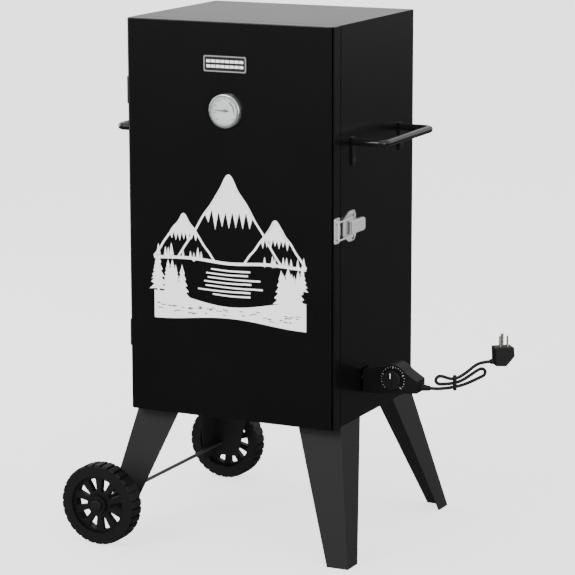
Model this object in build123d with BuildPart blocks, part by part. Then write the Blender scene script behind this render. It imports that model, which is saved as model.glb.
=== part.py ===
"""Electric cabinet smoker: sheet-metal cabinet on four splayed legs, two of them wheeled.

Frame: millimetres, +Z up, the floor at Z = 0.  The origin lies on the floor under the middle
of the object's box (without its cord).  The door is at -Y and the plug-in controller at +X.
"""
from build123d import *
import math
import os

os.makedirs("parts", exist_ok=True)

# ---------------------------------------------------------------- driving dimensions (mm)
SHEET = 1.2                 # wall of every folded panel
CABINET_W = 376.0           # outside width of body and door
CABINET_H = 660.0           # height of body and door
BODY_D = 292.0              # depth of the body behind the door
DOOR_D = 28.0               # depth of the door pan
DOOR_GAP = 2.0              # between the door's edge and the body, filled by the gasket
DOOR_EDGE_R = 7.0           # rounded upright edges of the door
DOOR_RIM_R = 1.5            # its top and bottom edges
LINER_IN = 1.0              # door's inner sheet from its back edge
FRAME_W = 16.0              # width of the frame round the door opening
HEM = 12.0                  # turned edges of the panels

LEG_H = 220.0               # floor to the cabinet's underside
LEG_SPLAY_X = 44.0          # how far a foot stands out sideways
LEG_SPLAY_Y = 66.0          # how far a foot stands out to the front or back
LEG_TOP_W = 78.0            # flange width at the cabinet
LEG_FOOT_W = 38.0           # flange width at the floor
LEG_SHEET = 1.8
LEG_TAB = 58.0              # square tab that bolts under the cabinet
LEG_BELOW_AXLE = 24.0       # the wheeled legs end this far below the axle
LEG_BOLT_R = 3.0
LEG_NUT_R = 5.4
LEG_NUT_T = 4.0
LEG_BOLT_END = 5.0          # bolt above the cabinet's floor
LEG_TAB_GAP = 0.2

WHEEL_R = 69.0
WHEEL_W = 31.0
WHEEL_OUT = 19.0            # axle beyond the left wall
WHEEL_FACE = 248.0          # outer face of each wheel from the middle of the object
WHEEL_HUB_R = 15.0
WHEEL_RIM_T = 20.0          # radial thickness of the rim and tread
WHEEL_DISH = 6.0            # web below the rim's outer face
WHEEL_WEB_T = 11.0
WHEEL_EDGE_R = 4.0
WINDOW_IN = 22.0            # windows between the spokes, from the axle
WINDOW_OUT = 44.0
WINDOW_W_IN = 6.0
WINDOW_W_OUT = 16.0
WINDOW_CORNER = 2.2
WHEEL_SPOKES = 10
TREAD_LUGS = 30
TREAD_DEPTH = 3.0
TREAD_GROOVE = 4.5
AXLE_R = 3.0
RUN = 0.1                   # radial clearance of a running fit
AXLE_CAP_R = 9.0
AXLE_CAP_T = 5.0
AXLE_CAP_GAP = 0.4          # between a cap and its wheel
AXLE_CAP_EDGE_R = 2.0
AXLE_CAP_FLOOR = 1.0
AXLE_HOLE_GAP = 0.3         # round the axle in the legs
SPACER_R = 6.5
SPACER_GAP = 0.4
SPACER_LEG_GAP = 0.2

HANDLE_Z = 467.0            # handle above the cabinet's underside
HANDLE_OUT = 57.0
HANDLE_Y0 = -86.0
HANDLE_Y1 = 106.0
HANDLE_R = 6.0
HANDLE_BEND = 10.0
HANDLE_PLATE_W = 14.0
HANDLE_PLATE_H = 46.0
HANDLE_PLATE_T = 3.0
HANDLE_PLATE_OVER = 2.0     # plate above the rod
HANDLE_BOLT_UP = 8.0        # bolt above the plate's lower end
HANDLE_BOLT_R = 2.5
HANDLE_BOLT_HEAD_R = 4.6
HANDLE_BOLT_HEAD_T = 2.4

HINGE_ZS = (130.0, 540.0)   # middles of the hinges above the cabinet's underside
HINGE_H = 45.0
HINGE_LEAF = 20.0
HINGE_T = 1.5
HINGE_PIN_R = 2.0
HINGE_BARREL_R = 3.5
HINGE_OUT = 4.0             # pin axis beyond the left wall
HINGE_STEP = 5.0            # clear strip between a leaf and the pin axis
HINGE_RIVET_IN = 9.0        # rivets from the ends of a leaf
KNUCKLE_GAP = 0.4           # between two knuckles
PIN_HEAD_OVER = 1.2
PIN_HEAD_T = 1.5

THERMO_X = -4.0             # thermometer from the middle of the door
THERMO_Z = 516.0
THERMO_R = 28.0
THERMO_RIM = 4.0
THERMO_T = 8.5
THERMO_STEM_R = 3.0
THERMO_STEM_L = 62.0
THERMO_EDGE_R = 2.5
THERMO_FLOOR = 3.0          # floor of the case in front of the door
THERMO_DIAL_T = 0.8
THERMO_LENS_IN = 2.2        # back of the lens behind the rim
THERMO_LENS_T = 1.5
THERMO_NUT_R = 7.0
THERMO_NUT_T = 5.0
NEEDLE_UP = 4.6             # back of the needle in front of the door
NEEDLE_T = 0.7
NEEDLE_TIP_GAP = 5.0        # needle's tip from the rim
NEEDLE_TAIL = 7.0
NEEDLE_TAIL_W = 2.2
NEEDLE_TIP_W = 0.7
NEEDLE_HUB_R = 2.4
NEEDLE_PIN_R = 1.0
NEEDLE_PIN_L = 2.0
NEEDLE_ANGLE = 180.0        # where the cold needle points, from +X towards +Z
PLATE_X = -5.0
PLATE_Z = 592.0
PLATE_W = 79.0
PLATE_H = 28.0
PLATE_T = 1.2
PLATE_CORNER = 2.0

LATCH_IN = 43.0             # middle of the latch's foot behind the body's front
LATCH_Z = 330.0
LATCH_H = 50.0
LATCH_FRONT = -36.0         # front edge of the foot from its middle
LATCH_FRONT_H = 27.0
LATCH_BACK = 13.0
LATCH_BACK_H = 34.0
LATCH_CORNER = 5.0
LATCH_T = 1.5
LATCH_RIVETS = 38.0         # upright distance between the rivets
LEVER_W = 22.0
LEVER_L = 54.0
LEVER_T = 1.2
LEVER_TIP_R = 6.0
LEVER_EDGE_R = 2.5
LEVER_GAP = 0.6             # lever above its foot
LEVER_MOUTH = 26.0          # finger cut from the pivot to the tip
LEVER_MOUTH_H = 4.0
LEVER_PIVOT_IN = 23.0       # pivot behind the body's front
LEVER_PIVOT_X = 7.0         # pivot above the wall
LATCH_PIN_R = 1.5
LATCH_EAR_R = 4.0
LATCH_EAR_GAP = 0.3
BAIL_R = 1.4
BAIL_ARM = 10.0             # bail pivot from the lever pivot
BAIL_DROP = 2.0
BAIL_RISE = 1.4             # bar above the bail's pivot
BAIL_EAR_GAP = 0.6
KEEPER_OUT = 14.0           # middle of the keeper in front of the door's back edge
KEEPER_W = 20.0
KEEPER_H = 42.0
KEEPER_RIVETS = 26.0
KEEPER_T = 1.2
KEEPER_CORNER = 4.0
KEEPER_LIP_W = 16.0
KEEPER_LIP_GAP = 0.4        # bail above the keeper's lip
BAIL_BAR_OUT = 20.0         # bail's bar in front of the door's back edge
RIVET_R = 2.0
RIVET_HEAD_R = 4.4
RIVET_HEAD_T = 2.0
RIVET_CROWN = 0.55          # top of a head's cone, of its foot
RIVET_TAIL = 0.8            # radius of a tail, of its head

GRATE_ZS = (280.0, 385.0, 490.0)
PAN_Z = 200.0               # rail that carries the water pan
RAIL_END = 10.0             # rails from the body's front and back
RAIL_W = 13.0
RAIL_T = 1.6
RAIL_POST_W = 12.0
RAIL_POSTS = (-55.0, 65.0)
RAIL_POST_OVER = 20.0       # posts past the outer rails
RAIL_WALL_GAP = 0.2
REST_GAP = 0.1              # under anything that rests loose on another piece
GRATE_ROD_R = 2.5
GRATE_WIRE_R = 1.5
GRATE_WIRES = 15
GRATE_GAP = 1.5             # side play of a grate between the walls
GRATE_END = 5.0             # grate from the ends of its rails
GRATE_CORNER = 14.0
PAN_END = 26.0              # pan from the ends of its rails
PAN_SIDE = 3.0              # pan from its rails
PAN_DEPTH = 50.0
PAN_RIM = 12.0
PAN_WALL = 1.0
PAN_CORNER = 24.0
PAN_TAPER = 9.0

ELEMENT_Z = 66.0            # element above the cabinet's underside
ELEMENT_R = 3.5
ELEMENT_BEND = 13.0
ELEMENT_PITCH = 52.0        # between the element's runs
ELEMENT_FAR = 70.0          # far bends from the left wall
ELEMENT_NEAR = 62.0         # near bends from the right wall
ELEMENT_STEP = 45.0         # inner bend from the near ones
TERMINAL_PITCH = 20.0
TERMINAL_R = 2.4
TERMINAL_OUT = 24.0
TERMINAL_SLEEVE = 1.5       # insulating sleeve round a terminal
TERMINAL_HOLE_R = 6.0
TERMINAL_SEAT = 0.2         # element's end behind the flange
FLANGE_T = 2.0
FLANGE_W = 52.0
FLANGE_BELOW = 24.0
FLANGE_ABOVE = 16.0
FLANGE_CORNER = 6.0
FLANGE_GAP = 0.1            # round a sleeve
STAND_Z = 92.0              # top of the chip tray's stand
STAND_SIDE = 32.0           # stand's legs from the walls
STAND_D = 160.0
STAND_SHEET = 1.5
STAND_WINDOW = 66.0         # half width of the openings in its legs
STAND_SILL = 20.0           # opening above the floor
STAND_LINTEL = 12.0         # opening below the stand's top
STAND_LEDGE_X = 25.0        # tray's bearing on the stand's top
STAND_LEDGE_Y = 25.0
CHIP_SIDE = 51.0            # chip tray from the stand's edges
CHIP_END = 10.0
CHIP_H = 46.0
CHIP_CORNER = 12.0
CHIP_LIP_W = 70.0
CHIP_LIP_OUT = 29.0
CHIP_LIP_CORNER = 6.0
CHIP_LIP_T = 1.1
DRIP_SIDE = 31.0            # drip tray from the stand's legs
DRIP_END = 31.0             # drip tray from the body's front and back
DRIP_H = 14.0
DRIP_CORNER = 14.0
LINER_SHELF = 40.0          # raised panel of the liner from the door's edges
LINER_DEPTH = 5.0
LINER_GAP = 0.1
GASKET_W = 10.0
GASKET_IN = 4.0             # gasket from the door's edges
GASKET_GAP = 0.2

CONTROLLER_Y = -31.0
CONTROLLER_L = 100.0
CONTROLLER_T = 34.0
CONTROLLER_WALL = 2.2
CONTROLLER_STANDOFF = 3.0
CONTROLLER_LOW = 41.0       # its flat end, above the cabinet's underside
CONTROLLER_HIGH = 80.0
LOBE_X = 57.0               # round part of the controller, from the wall
LOBE_Z = 69.0
LOBE_R = 24.5
NECK_Z = 56.0               # cord leaves the neck at this height
NECK_UP = 12.5
NECK_DOWN = 7.5
NECK_ROOT_OUT = 6.0         # neck's upper edge from the middle of the round part
NECK_ROOT_DROP = 1.5
DIAL_R = 16.0
DIAL_T = 9.0
DIAL_GAP = 0.4
DIAL_SHAFT_R = 3.0
DIAL_SHAFT_L = 9.0
DIAL_EDGE_R = 1.5
DIAL_FLUTES = 24
DIAL_FLUTE_R = 0.9
DIAL_CAP_T = 2.0            # plain rim above and below the flutes
DIAL_BAR_W = 3.2
DIAL_BAR_END = 3.0
CONTACT_IN = 6.0            # contact block from the wall
CONTACT_L = 22.0
CONTACT_W = 28.0
CONTACT_BELOW = 6.0
CONTACT_ABOVE = 7.0
PROBE_R = 3.0
PROBE_L = 120.0
PROBE_ROOT = 16.0           # probe's root inside the controller
PROBE_TIP_R = 2.4
PROBE_GAP = 1.0
PROBE_DROP = 12.0           # probe below the element
RELIEF_OUT = 16.0
RELIEF_IN = 8.0
RELIEF_R0 = 6.0
RELIEF_R1 = 4.2
RELIEF_WALL = 1.4
RELIEF_FLANGE = 2.2

CORD_R = 2.75
PLUG_WIDE = 34.0
PLUG_THICK = 25.0
PLUG_TOP = 25.0             # blade face above the cord
PLUG_LOW = 7.0
PLUG_SHOULDER = 9.0
PLUG_NOSE = 6.0             # body from the cord's end
PLUG_EDGE_R = 2.5
PLUG_RIM_R = 2.0
PLUG_SLEEVE_L = 8.0
PLUG_SLEEVE_R0 = 1.2        # sleeve round the cord
PLUG_SLEEVE_R1 = 2.6
PRONG_L = 18.0
PRONG_PITCH = 12.7
PRONG_W = 6.3
PRONG_T = 1.5
PRONG_SIDE = 3.0            # blades from the plug's middle
EARTH_PIN_R = 2.4
EARTH_PIN_OVER = 2.0
EARTH_PIN_SIDE = 6.0

# ---------------------------------------------------------------- places worked out from them
LEFT_REACH = CABINET_W / 2 + WHEEL_OUT + WHEEL_R
RIGHT_REACH = CABINET_W / 2 + CONTROLLER_L + RELIEF_OUT
CX = (LEFT_REACH - RIGHT_REACH) / 2          # middle of the cabinet
XL = CX - CABINET_W / 2                      # outside of the left wall
XR = CX + CABINET_W / 2                      # outside of the right wall
DEPTH = BODY_D + DOOR_GAP + DOOR_D
YF = -DEPTH / 2                              # face of the door
YD = YF + DOOR_D                             # back edge of the door
YB = YD + DOOR_GAP                           # front of the body
YR = DEPTH / 2                               # back of the body
Z0 = LEG_H
Z1 = LEG_H + CABINET_H
LINER_Y = YD - LINER_IN - SHEET              # front of the door's inner sheet
AXLE_X = XL - WHEEL_OUT
AXLE_Z = WHEEL_R
HINGE_X = XL - HINGE_OUT
HINGE_Y = YD + DOOR_GAP / 2
ELEM_Z = Z0 + ELEMENT_Z
LATCH_Y = YB + LATCH_IN
LEVER_PIVOT_Y = YB + LEVER_PIVOT_IN
KEEPER_Y = YD - KEEPER_OUT
BAIL_BAR_Y = YD - BAIL_BAR_OUT
RAIL_Y0 = YB + RAIL_END
RAIL_Y1 = YR - RAIL_END
GRATE_MID_Y = (RAIL_Y0 + RAIL_Y1) / 2
GRATE_D = RAIL_Y1 - RAIL_Y0 - 2 * GRATE_END
PAN_D = RAIL_Y1 - RAIL_Y0 - 2 * PAN_END
STAND_W = CABINET_W - 2 * STAND_SIDE
CHIP_W = STAND_W - 2 * CHIP_SIDE
CHIP_D = STAND_D - 2 * CHIP_END
DRIP_W = STAND_W - 2 * DRIP_SIDE
DRIP_D = BODY_D - 2 * DRIP_END

X_DIR = (1, 0, 0)
Y_DIR = (0, 1, 0)
Z_DIR = (0, 0, 1)


# ---------------------------------------------------------------- helpers
def block(x0, x1, y0, y1, z0, z1, mode=Mode.ADD):
    """A box between six planes, in the part being built."""
    with Locations(((x0 + x1) / 2, (y0 + y1) / 2, (z0 + z1) / 2)):
        Box(abs(x1 - x0), abs(y1 - y0), abs(z1 - z0), mode=mode)


def rod(start, direction, radius, length, mode=Mode.ADD):
    """A round bar or hole that starts at a point and runs along a direction."""
    with Locations(Plane(origin=start, z_dir=direction)):
        Cylinder(radius, length, align=(Align.CENTER, Align.CENTER, Align.MIN), mode=mode)


def save(builder, name):
    """Label a finished piece and write its STEP file."""
    builder.part.label = name
    export_step(builder.part, "parts/" + name + ".step")


def rivet(point, outward, grip, head_r=RIVET_HEAD_R, head_t=RIVET_HEAD_T, shank_r=RIVET_R):
    """A domed rivet: its head outside the sheet, a shank through it and a flat tail inside."""
    out = Vector(*outward)
    rod(tuple(Vector(*point) - out * grip), outward, shank_r, grip)
    with Locations(Plane(origin=point, z_dir=outward)):
        Cone(head_r, head_r * RIVET_CROWN, head_t, align=(Align.CENTER, Align.CENTER, Align.MIN))
    rod(tuple(Vector(*point) - out * (grip + head_t)), outward, head_r * RIVET_TAIL, head_t)


# ---------------------------------------------------------------- places of shared holes
def wall_x(side):
    """Outside of the left (-1) or right (+1) wall."""
    return CX + side * CABINET_W / 2


PLATE_TOP = Z0 + HANDLE_Z + HANDLE_R + HANDLE_PLATE_OVER
HANDLE_BOLT_Z = PLATE_TOP - HANDLE_PLATE_H + HANDLE_BOLT_UP
LATCH_RIVET_ZS = (Z0 + LATCH_Z - LATCH_RIVETS / 2, Z0 + LATCH_Z + LATCH_RIVETS / 2)
KEEPER_RIVET_ZS = (Z0 + LATCH_Z - KEEPER_RIVETS / 2, Z0 + LATCH_Z + KEEPER_RIVETS / 2)
HINGE_RIVET_STEP = HINGE_H / 2 - HINGE_RIVET_IN
HINGE_RIVET_ZS = [Z0 + z + s * HINGE_RIVET_STEP for z in HINGE_ZS for s in (-1, 1)]
HINGE_RIVET_OUT = HINGE_STEP + HINGE_LEAF / 2
BACK_SCREW_ZS = [Z0 + CABINET_H * k / 4 for k in (0.25, 1.4, 2.6, 3.75)]
BACK_SCREW_X = CABINET_W / 2 - SHEET - HEM / 2
TERMINAL_YS = (CONTROLLER_Y - TERMINAL_PITCH / 2, CONTROLLER_Y + TERMINAL_PITCH / 2)
PROBE_Z = ELEM_Z - PROBE_DROP
LEG_BOLT_IN = (22.0, 44.0)


def leg_corner(side, end, z):
    """Outer corner of a leg at a height: side is -1 left or +1 right, end -1 front or +1 back."""
    drop = (Z0 - z) / LEG_H
    y_top = YR if end > 0 else YB
    return wall_x(side) + side * LEG_SPLAY_X * drop, y_top + end * LEG_SPLAY_Y * drop


def leg_width(z):
    """Flange width of a leg at a height."""
    return LEG_FOOT_W + (LEG_TOP_W - LEG_FOOT_W) * z / LEG_H


def leg_bolts_at(side, end):
    """Places of a leg's two bolts, on the diagonal arms of its tab."""
    x, y = leg_corner(side, end, Z0)
    near, far = LEG_BOLT_IN
    return ((x - side * far, y - end * near), (x - side * near, y - end * far))


LEGS = {
    "leg_front_left": (-1, -1),
    "leg_front_right": (1, -1),
    "leg_rear_left": (-1, 1),
    "leg_rear_right": (1, 1),
}

# ---------------------------------------------------------------- cabinet panels
for name, side in (("side_panel_left", -1), ("side_panel_right", 1)):
    outside = wall_x(side)
    inside = outside - side * SHEET
    with BuildPart() as panel:
        block(outside, inside, YB + SHEET, YR - SHEET, Z0, Z1)
        block(inside, inside - side * HEM, YR - 2 * SHEET, YR - SHEET, Z0 + HEM + 2, Z1 - HEM - 2)
        for y in (HANDLE_Y0, HANDLE_Y1):
            rod((inside - side, y, HANDLE_BOLT_Z), (side, 0, 0), HANDLE_BOLT_R + RUN, 4, Mode.SUBTRACT)
        for z in BACK_SCREW_ZS:
            rod((CX + side * BACK_SCREW_X, YR - 4, z), Y_DIR, RIVET_R, 5, Mode.SUBTRACT)
        if side > 0:
            for z in LATCH_RIVET_ZS:
                rod((XR - 3, LATCH_Y, z), X_DIR, RIVET_R, 5, Mode.SUBTRACT)
            for y in TERMINAL_YS:
                rod((XR - 3, y, ELEM_Z), X_DIR, TERMINAL_HOLE_R, 5, Mode.SUBTRACT)
            rod((XR - 3, CONTROLLER_Y, PROBE_Z), X_DIR, PROBE_R + PROBE_GAP, 5, Mode.SUBTRACT)
        else:
            for z in HINGE_RIVET_ZS:
                rod((XL - 1, HINGE_Y + HINGE_RIVET_OUT, z), X_DIR, RIVET_R, 4, Mode.SUBTRACT)
    save(panel, name)

VENT_PITCH = 26.0
VENT_R = 8.0
VENT_DOWN = 55.0            # vents below the cabinet's top
VENT_XS = [CX + VENT_PITCH * k for k in (-2, -1, 0, 1, 2)]
with BuildPart() as back_panel:
    block(XL, XR, YR - SHEET, YR, Z0, Z1)
    for x in VENT_XS:
        rod((x, YR - 3, Z1 - VENT_DOWN), Y_DIR, VENT_R, 5, Mode.SUBTRACT)
    for side in (-1, 1):
        for z in BACK_SCREW_ZS:
            rod((CX + side * BACK_SCREW_X, YR - 3, z), Y_DIR, RIVET_R, 5, Mode.SUBTRACT)
save(back_panel, "back_panel")

PANEL_X0 = XL + SHEET
PANEL_X1 = XR - SHEET
PANEL_Y0 = YB + SHEET
PANEL_Y1 = YR - SHEET


def tray_panel(z_face, inward):
    """A panel with turned edges that closes the cabinet, in the part being built."""
    z_in = z_face + inward * SHEET
    z_edge = z_face + inward * HEM
    block(PANEL_X0, PANEL_X1, PANEL_Y0, PANEL_Y1, z_face, z_in)
    block(PANEL_X0, PANEL_X0 + SHEET, PANEL_Y0, PANEL_Y1, z_in, z_edge)
    block(PANEL_X1 - SHEET, PANEL_X1, PANEL_Y0, PANEL_Y1, z_in, z_edge)
    block(PANEL_X0, PANEL_X1, PANEL_Y0, PANEL_Y0 + SHEET, z_in, z_edge)
    block(PANEL_X0, PANEL_X1, PANEL_Y1 - SHEET, PANEL_Y1, z_in, z_edge)


with BuildPart() as top_panel:
    tray_panel(Z1, -1)
save(top_panel, "top_panel")

with BuildPart() as bottom_panel:
    tray_panel(Z0, 1)
    for side, end in LEGS.values():
        for x, y in leg_bolts_at(side, end):
            rod((x, y, Z0 - 1), Z_DIR, LEG_BOLT_R + RUN, 4, Mode.SUBTRACT)
save(bottom_panel, "bottom_panel")

with BuildPart() as front_frame:
    block(XL, XR, YB, YB + SHEET, Z0, Z1)
    block(XL + FRAME_W, XR - FRAME_W, YB - 1, YB + 3, Z0 + FRAME_W, Z1 - FRAME_W, Mode.SUBTRACT)
save(front_frame, "front_frame")

# ---------------------------------------------------------------- inside: rails, grates, pans
RAIL_ZS = [Z0 + z for z in (PAN_Z,) + GRATE_ZS]
for name, side in (("rack_support_left", -1), ("rack_support_right", 1)):
    wall = wall_x(side) - side * (SHEET + RAIL_WALL_GAP)
    with BuildPart() as rack_support:
        for y in RAIL_POSTS:
            block(wall, wall - side * RAIL_T, y - RAIL_POST_W / 2, y + RAIL_POST_W / 2,
                  RAIL_ZS[0] - RAIL_POST_OVER, RAIL_ZS[-1] + RAIL_POST_OVER)
        for z in RAIL_ZS:
            block(wall, wall - side * RAIL_T, RAIL_Y0, RAIL_Y1, z - RAIL_W, z)
            block(wall, wall - side * RAIL_W, RAIL_Y0, RAIL_Y1, z - RAIL_T, z)
    save(rack_support, name)

GRATE_X = CABINET_W / 2 - SHEET - RAIL_WALL_GAP - RAIL_T - GRATE_GAP - GRATE_ROD_R
GRATE_Y = GRATE_D / 2 - GRATE_ROD_R
for number, level in enumerate(GRATE_ZS, start=1):
    z_rod = Z0 + level + REST_GAP + GRATE_ROD_R
    with BuildPart() as grate:
        with BuildLine(Plane(origin=(CX, GRATE_MID_Y, z_rod))) as ring:
            FilletPolyline((-GRATE_X, -GRATE_Y), (GRATE_X, -GRATE_Y), (GRATE_X, GRATE_Y),
                           (-GRATE_X, GRATE_Y), radius=GRATE_CORNER, close=True)
        with BuildSketch(Plane(origin=ring.line @ 0, z_dir=ring.line % 0)):
            Circle(GRATE_ROD_R)
        sweep()
        for k in range(GRATE_WIRES):
            x = CX + GRATE_X * (2 * (k + 1) / (GRATE_WIRES + 1) - 1)
            rod((x, GRATE_MID_Y - GRATE_Y, z_rod + 1), Y_DIR, GRATE_WIRE_R, 2 * GRATE_Y)
        for y in (-GRATE_Y / 3, GRATE_Y / 3):
            rod((CX - GRATE_X, GRATE_MID_Y + y, z_rod), X_DIR, GRATE_ROD_R * 0.9, 2 * GRATE_X)
    save(grate, "cooking_grate_%d" % number)

PAN_W = 2 * (CABINET_W / 2 - SHEET - RAIL_WALL_GAP - RAIL_W - PAN_SIDE)
PAN_TOP = Z0 + PAN_Z + REST_GAP
with BuildPart() as water_pan:
    with BuildSketch(Plane(origin=(CX, GRATE_MID_Y, PAN_TOP))):
        RectangleRounded(PAN_W, PAN_D, PAN_CORNER)
    extrude(amount=-PAN_DEPTH, taper=PAN_TAPER)
    with BuildSketch(Plane(origin=(CX, GRATE_MID_Y, PAN_TOP))):
        RectangleRounded(PAN_W + 2 * PAN_RIM, PAN_D + 2 * PAN_RIM, PAN_CORNER + PAN_RIM)
    extrude(amount=PAN_WALL)
    with BuildSketch(Plane(origin=(CX, GRATE_MID_Y, PAN_TOP + PAN_WALL))):
        RectangleRounded(PAN_W - 2 * PAN_WALL, PAN_D - 2 * PAN_WALL, PAN_CORNER - PAN_WALL)
    extrude(amount=-PAN_DEPTH, taper=PAN_TAPER, mode=Mode.SUBTRACT)
save(water_pan, "water_pan")

STAND_TOP = Z0 + STAND_Z
STAND_Y = GRATE_MID_Y
TRAY_REST = STAND_TOP + REST_GAP
CHIP_TOP = TRAY_REST + CHIP_H
with BuildPart() as chip_tray_stand:
    block(CX - STAND_W / 2, CX + STAND_W / 2, STAND_Y - STAND_D / 2, STAND_Y + STAND_D / 2,
          STAND_TOP - STAND_SHEET, STAND_TOP)
    block(CX - CHIP_W / 2 + STAND_LEDGE_X, CX + CHIP_W / 2 - STAND_LEDGE_X,
          STAND_Y - CHIP_D / 2 + STAND_LEDGE_Y, STAND_Y + CHIP_D / 2 - STAND_LEDGE_Y,
          STAND_TOP - 3, STAND_TOP + 1, Mode.SUBTRACT)
    for side in (-1, 1):
        edge = CX + side * STAND_W / 2
        block(edge, edge - side * STAND_SHEET, STAND_Y - STAND_D / 2, STAND_Y + STAND_D / 2,
              Z0 + SHEET, STAND_TOP)
        block(edge + side, edge - side * 3, STAND_Y - STAND_WINDOW, STAND_Y + STAND_WINDOW,
              Z0 + SHEET + STAND_SILL, STAND_TOP - STAND_LINTEL, Mode.SUBTRACT)
save(chip_tray_stand, "chip_tray_stand")

with BuildPart() as chip_tray:
    with BuildSketch(Plane(origin=(CX, STAND_Y, TRAY_REST))):
        RectangleRounded(CHIP_W, CHIP_D, CHIP_CORNER)
    extrude(amount=CHIP_H)
    with BuildSketch(Plane(origin=(CX, STAND_Y, TRAY_REST + PAN_WALL))):
        RectangleRounded(CHIP_W - 2 * PAN_WALL, CHIP_D - 2 * PAN_WALL, CHIP_CORNER - PAN_WALL)
    extrude(amount=CHIP_H, mode=Mode.SUBTRACT)
    with BuildSketch(Plane(origin=(CX, STAND_Y - CHIP_D / 2, CHIP_TOP - CHIP_LIP_T))):
        RectangleRounded(CHIP_LIP_W, 2 * CHIP_LIP_OUT, CHIP_LIP_CORNER)
    extrude(amount=CHIP_LIP_T)
    block(CX - CHIP_LIP_W / 2, CX + CHIP_LIP_W / 2, STAND_Y - CHIP_D / 2 + PAN_WALL,
          STAND_Y, CHIP_TOP - 2 * CHIP_LIP_T, CHIP_TOP + 1, Mode.SUBTRACT)
save(chip_tray, "chip_tray")

with BuildPart() as drip_tray:
    with BuildSketch(Plane(origin=(CX, STAND_Y, Z0 + SHEET + REST_GAP))):
        RectangleRounded(DRIP_W, DRIP_D, DRIP_CORNER)
    extrude(amount=DRIP_H)
    with BuildSketch(Plane(origin=(CX, STAND_Y, Z0 + SHEET + REST_GAP + PAN_WALL))):
        RectangleRounded(DRIP_W - 2 * PAN_WALL, DRIP_D - 2 * PAN_WALL, DRIP_CORNER - PAN_WALL)
    extrude(amount=DRIP_H, mode=Mode.SUBTRACT)
save(drip_tray, "drip_tray")

# ---------------------------------------------------------------- heating element
ELEM_X0 = XR - SHEET - FLANGE_T - TERMINAL_SEAT
ELEM_FAR = XL + ELEMENT_FAR
ELEM_NEAR = XR - ELEMENT_NEAR
ELEM_STEP = ELEM_NEAR - ELEMENT_STEP
ELEM_Y = TERMINAL_YS[0]
ELEM_PATH = [
    (ELEM_X0, ELEM_Y),
    (ELEM_NEAR, ELEM_Y),
    (ELEM_NEAR, ELEM_Y - ELEMENT_PITCH),
    (ELEM_FAR, ELEM_Y - ELEMENT_PITCH),
    (ELEM_FAR, ELEM_Y),
    (ELEM_STEP, ELEM_Y),
    (ELEM_STEP, ELEM_Y + ELEMENT_PITCH),
    (ELEM_FAR, ELEM_Y + ELEMENT_PITCH),
    (ELEM_FAR, ELEM_Y + 2 * ELEMENT_PITCH),
    (ELEM_NEAR, ELEM_Y + 2 * ELEMENT_PITCH),
    (ELEM_NEAR, TERMINAL_YS[1]),
    (ELEM_X0, TERMINAL_YS[1]),
]
with BuildPart() as heating_element:
    with BuildLine(Plane.XY.offset(ELEM_Z)):
        FilletPolyline(*ELEM_PATH, radius=ELEMENT_BEND)
    with BuildSketch(Plane(origin=(ELEM_X0, ELEM_Y, ELEM_Z), z_dir=(-1, 0, 0))):
        Circle(ELEMENT_R)
    sweep()
    for y in TERMINAL_YS:
        rod((ELEM_X0, y, ELEM_Z), X_DIR, TERMINAL_R, XR - ELEM_X0 + TERMINAL_OUT)
        rod((ELEM_X0, y, ELEM_Z), X_DIR, TERMINAL_R + TERMINAL_SLEEVE, XR - ELEM_X0 + 2)
save(heating_element, "heating_element")

with BuildPart() as element_flange:
    block(XR - SHEET, XR - SHEET - FLANGE_T, CONTROLLER_Y - FLANGE_W / 2,
          CONTROLLER_Y + FLANGE_W / 2, ELEM_Z - FLANGE_BELOW, ELEM_Z + FLANGE_ABOVE)
    fillet(element_flange.edges().filter_by(Axis.X), FLANGE_CORNER)
    for y in TERMINAL_YS:
        rod((XR - 6, y, ELEM_Z), X_DIR, TERMINAL_R + TERMINAL_SLEEVE + FLANGE_GAP, 8,
            Mode.SUBTRACT)
    rod((XR - 6, CONTROLLER_Y, PROBE_Z), X_DIR, PROBE_R + PROBE_GAP, 8, Mode.SUBTRACT)
save(element_flange, "element_flange")

# ---------------------------------------------------------------- door
with BuildPart() as door_skin:
    block(XL, XR, YF, YD, Z0, Z1)
    fillet(door_skin.edges().filter_by(Axis.Z).group_by(Axis.Y)[0], DOOR_EDGE_R)
    fillet(door_skin.faces().sort_by(Axis.Y)[0].edges().filter_by(Axis.X), DOOR_RIM_R)
    block(XL + SHEET, XR - SHEET, YF + SHEET, YD + 1, Z0 + SHEET, Z1 - SHEET, Mode.SUBTRACT)
    rod((CX + THERMO_X, YF - 2, Z0 + THERMO_Z), Y_DIR, THERMO_STEM_R + RUN, 8, Mode.SUBTRACT)
    for z in KEEPER_RIVET_ZS:
        rod((XR - 3, KEEPER_Y, z), X_DIR, RIVET_R, 5, Mode.SUBTRACT)
    for z in HINGE_RIVET_ZS:
        rod((XL - 1, HINGE_Y - HINGE_RIVET_OUT, z), X_DIR, RIVET_R, 4, Mode.SUBTRACT)
save(door_skin, "door_skin")

LINER_EDGE = SHEET + LINER_GAP
SHELF_Y = LINER_Y - LINER_DEPTH
with BuildPart() as door_liner:
    block(XL + LINER_EDGE, XR - LINER_EDGE, LINER_Y, LINER_Y + SHEET,
          Z0 + LINER_EDGE, Z1 - LINER_EDGE)
    block(XL + LINER_SHELF, XR - LINER_SHELF, SHELF_Y, LINER_Y + SHEET,
          Z0 + LINER_SHELF, Z1 - LINER_SHELF)
    block(XL + LINER_SHELF + SHEET, XR - LINER_SHELF - SHEET, SHELF_Y + SHEET,
          LINER_Y + SHEET, Z0 + LINER_SHELF + SHEET, Z1 - LINER_SHELF - SHEET, Mode.SUBTRACT)
    rod((CX + THERMO_X, SHELF_Y - 3, Z0 + THERMO_Z), Y_DIR, THERMO_STEM_R + RUN, 12,
        Mode.SUBTRACT)
save(door_liner, "door_liner")

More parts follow.
